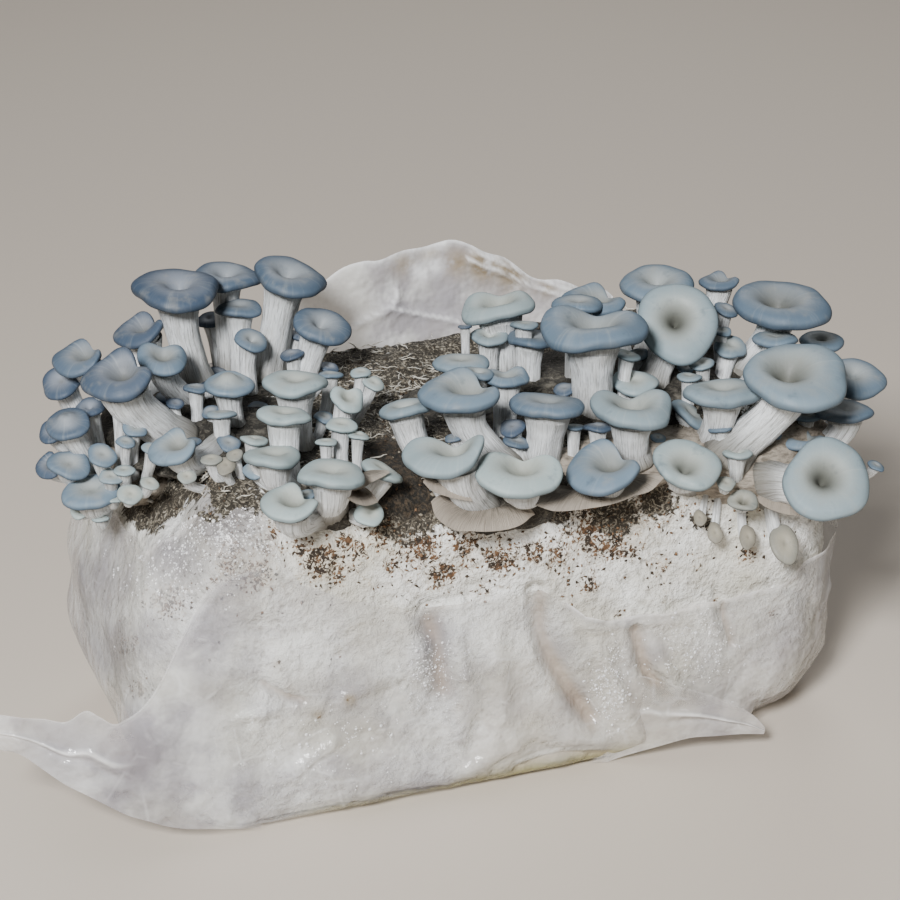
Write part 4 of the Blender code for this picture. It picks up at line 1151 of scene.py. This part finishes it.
def grow_block(surface, creases):
    """The block, rough with mycelium. Returns what other pieces need to lie on it."""
    columns, bend_rows, middle_rows, top_rings = 440, 22, 54, 40
    along = np.linspace(0.0, OUTLINE, columns, endpoint=False)
    quarter = np.linspace(0.0, 0.5 * math.pi, bend_rows)
    low = BLOCK_BOTTOM + LEAST_FOOT_RADIUS * (1.0 - np.cos(quarter))
    high = BLOCK_HEIGHT - SHOULDER_RADIUS * (1.0 - np.sin(quarter))
    middle = np.linspace(low[-1], high[0], middle_rows)[1:-1]
    heights = np.concatenate([low, middle, high])[:, None]
    side = block_side(along, heights)
    rings = []
    for share in np.linspace(1.0, 0.02, top_rings)[1:]:
        x, y = share * side[-1, :, 0], share * side[-1, :, 1]
        blend = min((1.0 - share) * 6.0, 1.0)
        rings.append(joined(x, y, BLOCK_HEIGHT + blend * (top_height(x, y) - BLOCK_HEIGHT)))
    points = np.concatenate([side, rings])
    normals = ring_normals(points)

    # Felt on the sides, crumbs on top, and the film's folds where the film covers it.
    flat = held((normals[..., 2] - 0.62) / 0.26)
    felt = 1.4 * lumps(points, 13.0, 1) + 0.75 * lumps(points, 5.0, 2)
    felt = felt + 0.3 * lumps(points, 2.4, 3)
    soil = 1.0 * lumps(points, 6.0, 4) + 0.9 * lumps(points, 2.8, 5)
    points = points + normals * (flat * soil + (1.0 - flat) * (felt - 0.3))[..., None]
    sides = len(heights)
    under = held((rim_height(along) + 8.0 - heights) / 10.0) * held(heights / 12.0)
    push = np.clip(folds_of(along, heights, creases), -7.0, 4.0) * under
    points[:sides] += normals[:sides] * push[..., None]
    points[..., 2] = np.clip(points[..., 2], BLOCK_BOTTOM, None)

    # How brown-flecked, how bare and how grey the crust is; bare also carries painted shadow.
    facing = normals @ TOWARD > 0.05
    rise = points[..., 2]
    band = held((rise - 84.0) / 40.0) * (0.45 + 0.25 * lumps(points, 30.0, 6))
    behind = band * held(normals[..., 1] + 0.4) * 0.6
    front = band * held(-normals[..., 1])
    flecked = held(np.maximum(front, behind) + patch_values(points, PATCHES, facing))
    bare = flat * (0.92 + 0.2 * lumps(points, 18.0, 8))
    bare = np.maximum(bare, held((rise - 149.0) / 8.0) * 0.85)
    # Dark ground, and painted shadow under the left cluster and between the clusters.
    bare = np.maximum(bare, patch_values(points, DARK_GROUND_AND_SHADOW, facing))
    bare = bare + 0.25 * held(lumps(points, 24.0, 9)) * (rise < 150.0)
    greyed = joined(patch_values(points, GREYED, facing), 0.0, 0.0)
    piece = Growth()
    piece.add(points, grid_faces(len(points), columns, True, False), 0, bare, flecked, greyed)
    piece.add(points[0], [list(range(columns))[::-1]], 0, 0.0, 0.0, greyed[0])
    piece.add(points[-1], [list(range(columns))], 0, 0.8, 0.0, greyed[-1])
    piece.make("mycelium_block", [surface], "substrate_block")
    return points.reshape(-1, 3), normals.reshape(-1, 3), flecked.ravel(), bare.ravel()


def all_creases():
    """Creases as points on the unrolled bag, depth, width and whether they are sharp: those of
    the picture, then others."""
    found = []
    for line, depth, width in CREASES:
        places = [in_picture(*place, -90.0)[[0, 2]] for place in line]
        found.append((places, depth, width, False))
    for _ in range(CREASE_COUNT):
        start = np.array([RANDOM.uniform(-0.5, 0.5) * OUTLINE, RANDOM.uniform(0.0, 150.0)])
        angle = RANDOM.normal(-1.1, 0.7)
        end = start + RANDOM.uniform(14.0, 60.0) * np.array([math.cos(angle), math.sin(angle)])
        depth = RANDOM.uniform(0.5, 2.0) * RANDOM.choice([-1.0, 1.0])
        found.append(([start, end], depth, RANDOM.uniform(0.9, 3.2), True))
    return found


def from_line(points, line):
    """How far points on a flat sheet lie from a line, and how far along its last part."""
    nearest = np.inf
    for start, end in zip(line, line[1:]):
        run = end - start
        share = held(((points - start) @ run) / (run @ run))
        far = np.linalg.norm(points - start - share[..., None] * run, axis=-1)
        nearest = np.minimum(nearest, far)
    return nearest, share


def folds_of(along, height, creases):
    """How far creases push the film out, by its place on the unrolled bag."""
    flat = joined(np.mod(along + 0.5 * OUTLINE, OUTLINE) - 0.5 * OUTLINE, height)
    push = 0.0
    for line, depth, width, sharp in creases:
        nearest, share = from_line(flat, line)
        if sharp:
            ending = np.sin(math.pi * np.clip(share, 0.02, 0.98))
            push = push + depth * ending * np.exp(-nearest / width)
        else:
            push = push + depth * bell(nearest / width)
    return push


def near_lines(points, lines, reach):
    """How near points show to these lines of the picture, from 0 to 1 on them."""
    seen = joined(*seen_at(points))
    nearest = [from_line(seen, np.array(line, float))[0] for line in lines]
    return bell(np.min(nearest, axis=0) / reach)


def rim_height(along):
    """How high the bag's rim is, this far along the outline."""
    places = np.array(RIM + [(RIM[0][0] + OUTLINE, RIM[0][1])], float)
    return np.interp(np.mod(along, OUTLINE), places[:, 0], places[:, 1])


def add_fold_of_film(piece, stations, seed, fade):
    """A doubled fold of film, lofted through its stations, with wrinkles along it."""
    rows, columns = 34, 110
    upper, lower = (
        smooth_line([in_picture(*row[edge], row[2]) for row in stations], columns)
        for edge in (0, 1)
    )
    apart = smooth_line([(row[3], 0.0) for row in stations], columns)[:, 0]
    across = np.linspace(0.0, 1.0, rows)[:, None]
    run = np.linspace(0.0, 1.0, columns)
    arch = np.sin(math.pi * across)
    far = np.clip((run - 0.36) / 0.14, fade, 1.0)
    crest = across - 0.42 - 0.1 * run
    ridge = far * (1.8 * bell(crest / 0.05) - 1.2 * bell((across - 0.66 + 0.12 * run) / 0.04))
    melt = fade * held((0.86 - run) / 0.3)
    veil = held(run / 0.16) * 0.85 - 0.35 - held(1.0 - across / (melt + 0.01)) * 0.9
    bright = 0.7 * bell(crest / 0.03) * far + 0.6 * np.exp(-across / 0.02) * (1.0 - fade)
    for layer in (-1.0, 1.0):
        points = upper + across[..., None] * (lower - upper)
        wrinkle = 0.9 * lumps(points, 11.0, seed) + 0.45 * lumps(points, 4.0, seed + 1)
        push = layer * 0.5 * apart * arch + (ridge + wrinkle) * held(apart / 2.0) * arch**0.5
        points = points + push[..., None] * np.array([0.0, -1.0, 0.25])
        points[..., 2] = np.clip(points[..., 2], 0.4, None)
        faces = grid_faces(rows, columns, False, layer < 0)
        greyed = -patch_values(points, GREYED)
        piece.add(points, faces, 0, veil, greyed, joined(0.0, 0.0, bright))


def grow_bag(surface, creases):
    """The bag: it clings to the block, hangs loose at the left end and stands up at the back."""
    rows, columns = 126, 540
    along = np.linspace(0.0, OUTLINE, columns, endpoint=False)
    rim = rim_height(along) + 1.5 * np.sin(0.09 * along) + 1.0 * np.sin(0.23 * along + 1.0)
    height = BAG_WALL + (rim - BAG_WALL) * np.linspace(0.0, 1.0, rows)[:, None] ** 1.15
    turn = 2.0 * math.pi * along / OUTLINE
    x = outline(along, 0.0)[0]
    at_back = (along > BACK_START) * (along < BACK_END)
    ends = held((-x - BLOCK_HALF_LENGTH + 22.0) / 14.0)
    loose = 2.5 * np.sin(math.pi * held(height / 110.0)) * ends
    loose = loose * (1.0 + 0.6 * np.sin(0.16 * height))
    fold = (0.6 + 0.5 * np.sin(11.0 * turn + 0.8)) * np.clip(height / 40.0, 0.0, 2.0)
    back = rounding(height - BAG_WALL, foot_radius(along)) + end_slope(x, height)
    back = np.clip(back, None, DEEPEST)
    cling = rounding(BLOCK_HEIGHT - height, SHOULDER_RADIUS) * (x < -40.0) * (along > BACK_END)
    standing = held((height - 120.0) / 30.0) * at_back
    grow = BAG_CLEARANCE + BAG_WALL + loose + fold - back - 0.9 * cling - 10.0 * standing
    points = joined(*outline(along, grow), height)
    normals = ring_normals(points)

    # Creases, lumps and a thick rim.
    to_rim = rim - height
    push = folds_of(along, height, creases) * np.clip(to_rim / 9.0, 0.2, 1.0) * (1.0 - 0.6 * ends)
    close = 1.2 * lumps(points, 13.0, 1) + 0.55 * lumps(points, 5.0, 2)
    push += 0.6 * lumps(points, 22.0, 21) + close * (1.0 - 0.8 * np.maximum(ends, height > 150.0))
    push = push * np.clip(height / 10.0, 0.1, 1.0)
    push += 1.2 * np.exp(-to_rim / 2.5) - 1.0 * standing * np.sin(0.12 * along)
    push -= 1.6 * near_lines(points, BACK_LINES, 4.0) * standing
    points = points + normals * np.clip(push, -7.0, 6.0)[..., None]
    points[..., 2] = np.clip(points[..., 2], 0.3, None)

    # How loosely it hangs, how yellow or grey it is, and its stains, painted shade in its creases
    # and bright lines.
    hang = 0.3 * ends * np.clip(height / 60.0, 0.3, 1.0) + 0.95 * standing
    hang = held(hang + 0.30 * held((88.0 - height) / 50.0))
    edge = (along < 240.0) * (along > 20.0) + 1.0 * at_back
    hang = np.maximum(hang, (0.15 + 0.6 * edge) * np.exp(-to_rim / 3.0))
    hang = hang - 0.4 * patch_values(points, CLEAR)
    low = np.exp(-height / 8.0) * np.clip(1.5 + x / 90.0, 0.1, 1.0)
    low = low * np.clip((125.0 - x) / 70.0, 0.15, 1.0)
    low = low - patch_values(points, GREYED) * (1.0 - low)
    stained = patch_values(points, STAINS) * standing
    stained = stained + patch_values(points, SPOTS) * (1.0 - standing)
    named_crease_shade = folds_of(along, height, [row for row in creases if not row[3]])
    bright = (patch_values(points, BLOTCHES) + 0.8 * near_lines(points, BACK_LINES, 1.6)) * standing
    bright = held(bright + 0.8 * edge * np.exp(-to_rim / 1.2))
    marks = joined(stained, held(-named_crease_shade / 3.6 - 0.1), bright)
    piece = Growth()
    piece.add(points, grid_faces(rows, columns, True, False), 0, hang, low, marks)
    piece.add(points[0], [list(range(columns))[::-1]], 0, 0.0, 1.0, np.zeros_like(points[0]))
    add_fold_of_film(piece, EAR, 31, 0.0)
    add_fold_of_film(piece, FLAP, 41, 0.45)
    piece.make("milky_bag", [surface], "plastic_bag")
    return points.reshape(-1, 3), normals.reshape(-1, 3)


def add_flakes(piece, points, normals, count, sizes, slots):
    """Small angular flakes that lie on these points."""
    for number in RANDOM.choice(len(points), count):
        length = RANDOM.uniform(*sizes)
        size = length * np.array([1.0, RANDOM.uniform(0.35, 0.8), RANDOM.uniform(0.2, 0.4)])
        normal = unit(normals[number] + 0.5 * RANDOM.normal(size=3))
        axes = axes_on(normal, RANDOM.normal(size=3))
        corners = FLAKE * size * RANDOM.uniform(0.75, 1.25, (len(FLAKE), 1))
        place = points[number] + 0.35 * size[2] * normals[number]
        piece.add(place + corners @ axes, FLAKE_FACES, int(RANDOM.integers(*slots)))


def scatter_sawdust(points, normals, flecked, bare):
    """Loose and half-buried flakes of sawdust where the crust is open."""
    brown = plain("sawdust_brown", (0.26, 0.15, 0.08), (0.09, 0.05, 0.025), 900.0, 0.8)
    dark = plain("sawdust_dark", (0.09, 0.06, 0.035), (0.02, 0.014, 0.008), 900.0, 0.85)
    crumb = plain("soil_crumb", (0.36, 0.32, 0.25), (0.16, 0.135, 0.10), 700.0, 0.9)
    piece = Growth()
    near = np.flatnonzero(RANDOM.random(len(points)) < flecked**2 * (normals[:, 2] < 0.8))
    add_flakes(piece, points[near], normals[near], CRUST_FLAKES, (0.4, 1.3), (0, 2))
    top = np.flatnonzero((bare > 0.5) & (points[:, 2] > 130.0))
    add_flakes(piece, points[top], normals[top], TOP_FLAKES, (0.6, 1.7), (1, 3))
    piece.make("sawdust_flakes", [brown, dark, crumb])


def scatter_threads(points, normals, bare, surface):
    """White threads of mycelium that creep over the bare top."""
    piece = Growth()
    steps = 7
    turn = circle(3)
    ring = joined(np.cos(turn), np.sin(turn))
    faces = grid_faces(steps, len(turn), True, False)
    top = np.flatnonzero((bare > 0.45) & (points[:, 2] > 150.0))
    for number in RANDOM.choice(top, THREADS):
        place = points[number] + 0.3 * normals[number]
        heading = RANDOM.uniform(0.0, 2.0 * math.pi)
        thick = RANDOM.uniform(0.18, 0.5)
        rows = []
        for step in range(steps):
            ahead = np.array([math.cos(heading), math.sin(heading), 0.0])
            sides = np.array([(-ahead[1], ahead[0], 0.0), (0.0, 0.0, 1.0)])
            size = thick * math.sin(math.pi * (step + 0.5) / steps)
            rows.append(place + size * ring @ sides)
            place = place + RANDOM.uniform(0.8, 2.0) * ahead
            place[2] += RANDOM.normal(0.0, 0.25)
            heading += RANDOM.normal(0.0, 0.5)
        piece.add(rows, faces, 0)
    piece.make("mycelium_threads", [surface])


def scatter_droplets(points, normals):
    """Condensation on the film at the front left shoulder and in a few patches lower down."""
    made = Shader("condensation", 0.04, Specular_IOR_Level=1.0, Alpha=0.8)
    # Near-white drops: their whiteness is partly painted highlight, for the sparkle of
    # condensation.
    made.base = made.mix(made.span(made.noise(300.0), 0.3, 0.7), (0.85, 0.86, 0.9), (1.0, 1.0, 1.0))
    chance = patch_values(points, WET, normals @ TOWARD > 0.1)
    places = np.flatnonzero(RANDOM.random(len(chance)) < 0.75 * chance)
    rise = 0.5 * math.pi * np.array([0.0, 0.5, 1.0])[:, None]
    turn = circle(7)
    dome = (ball(rise, turn) * np.array([1.0, 1.0, 0.7])).reshape(-1, 3)
    faces = grid_faces(len(rise), len(turn), True, False)
    piece = Growth()
    for number in RANDOM.permutation(np.repeat(places, 3))[:MOST_DROPS]:
        axes = axes_on(unit(normals[number]), np.array([0.3, 0.2, 0.9]))
        size = RANDOM.uniform(0.16, 0.45) if RANDOM.random() < 0.93 else RANDOM.uniform(0.45, 0.9)
        jitter = RANDOM.normal(0.0, 0.9, 3)
        place = points[number] + jitter - jitter @ axes[2] * axes[2]
        piece.add(place + size * dome @ axes, faces, 0)
    piece.make("condensation_drops", [made.done()])


def aimed(name, data, place, way):
    """A new object at this place that looks this way."""
    made = placed(name, data)
    made.location = place
    made.rotation_euler = Vector(way).to_track_quat("-Z", "Y").to_euler()
    return made


def make_stage():
    """A pale floor, a camera at the picture's angle and soft lamps."""
    floor_data = bpy.data.meshes.new("floor")
    reach = 6.0
    corners = [(reach * x, reach * y, 0.0) for x, y in ((-1, -1), (1, -1), (1, 1), (-1, 1))]
    floor_data.from_pydata(corners, [], [(0, 1, 2, 3)])
    shade = bpy.data.materials.new("pale_floor")
    shade.use_nodes = True
    surface = shade.node_tree.nodes["Principled BSDF"].inputs
    surface["Base Color"].default_value = (0.64, 0.57, 0.49, 1.0)
    surface["Roughness"].default_value = 0.7
    floor_data.materials.append(shade)
    floor = placed("floor", floor_data)

    sensor = 36.0
    lens = bpy.data.cameras.new("camera")
    lens.sensor_width = sensor
    lens.lens = sensor * EYE_DISTANCE / (PICTURE * PIXEL)
    target = (EYE_TARGET + ORIGIN) * MM
    eye = target + EYE_DISTANCE * TOWARD * MM
    bpy.context.scene.camera = aimed("camera", lens, eye, -TOWARD)

    for name, place, size, power in LAMPS:
        lamp = bpy.data.lights.new(name, "AREA")
        lamp.size = size
        lamp.energy = power
        aimed(name, lamp, place, target - np.array(place))
    world = bpy.data.worlds.new("studio")
    world.use_nodes = True
    sky = world.node_tree.nodes["Background"].inputs
    sky["Color"].default_value = (0.97, 0.98, 1.0, 1.0)
    sky["Strength"].default_value = 0.015
    bpy.context.scene.world = world


def main():
    make_stage()
    skin = cap_skin()
    flesh = stem_flesh()
    for row in MUSHROOMS:
        grow_mushroom(row, skin, flesh)
    materials = [skin, flesh, base_flesh(), gilled_flesh()]
    grow_base("left", YOUNG_LEFT, materials)
    grow_base("right", YOUNG_RIGHT, materials)
    creases = all_creases()
    points, normals, flecked, bare = grow_block(mycelium(), creases)
    scatter_sawdust(points, normals, flecked, bare)
    pale = plain("mycelium_threads", (0.74, 0.72, 0.66), (0.48, 0.44, 0.36), 700.0, 0.9)
    scatter_threads(points, normals, bare, pale)
    scatter_droplets(*grow_bag(film(), creases))


main()
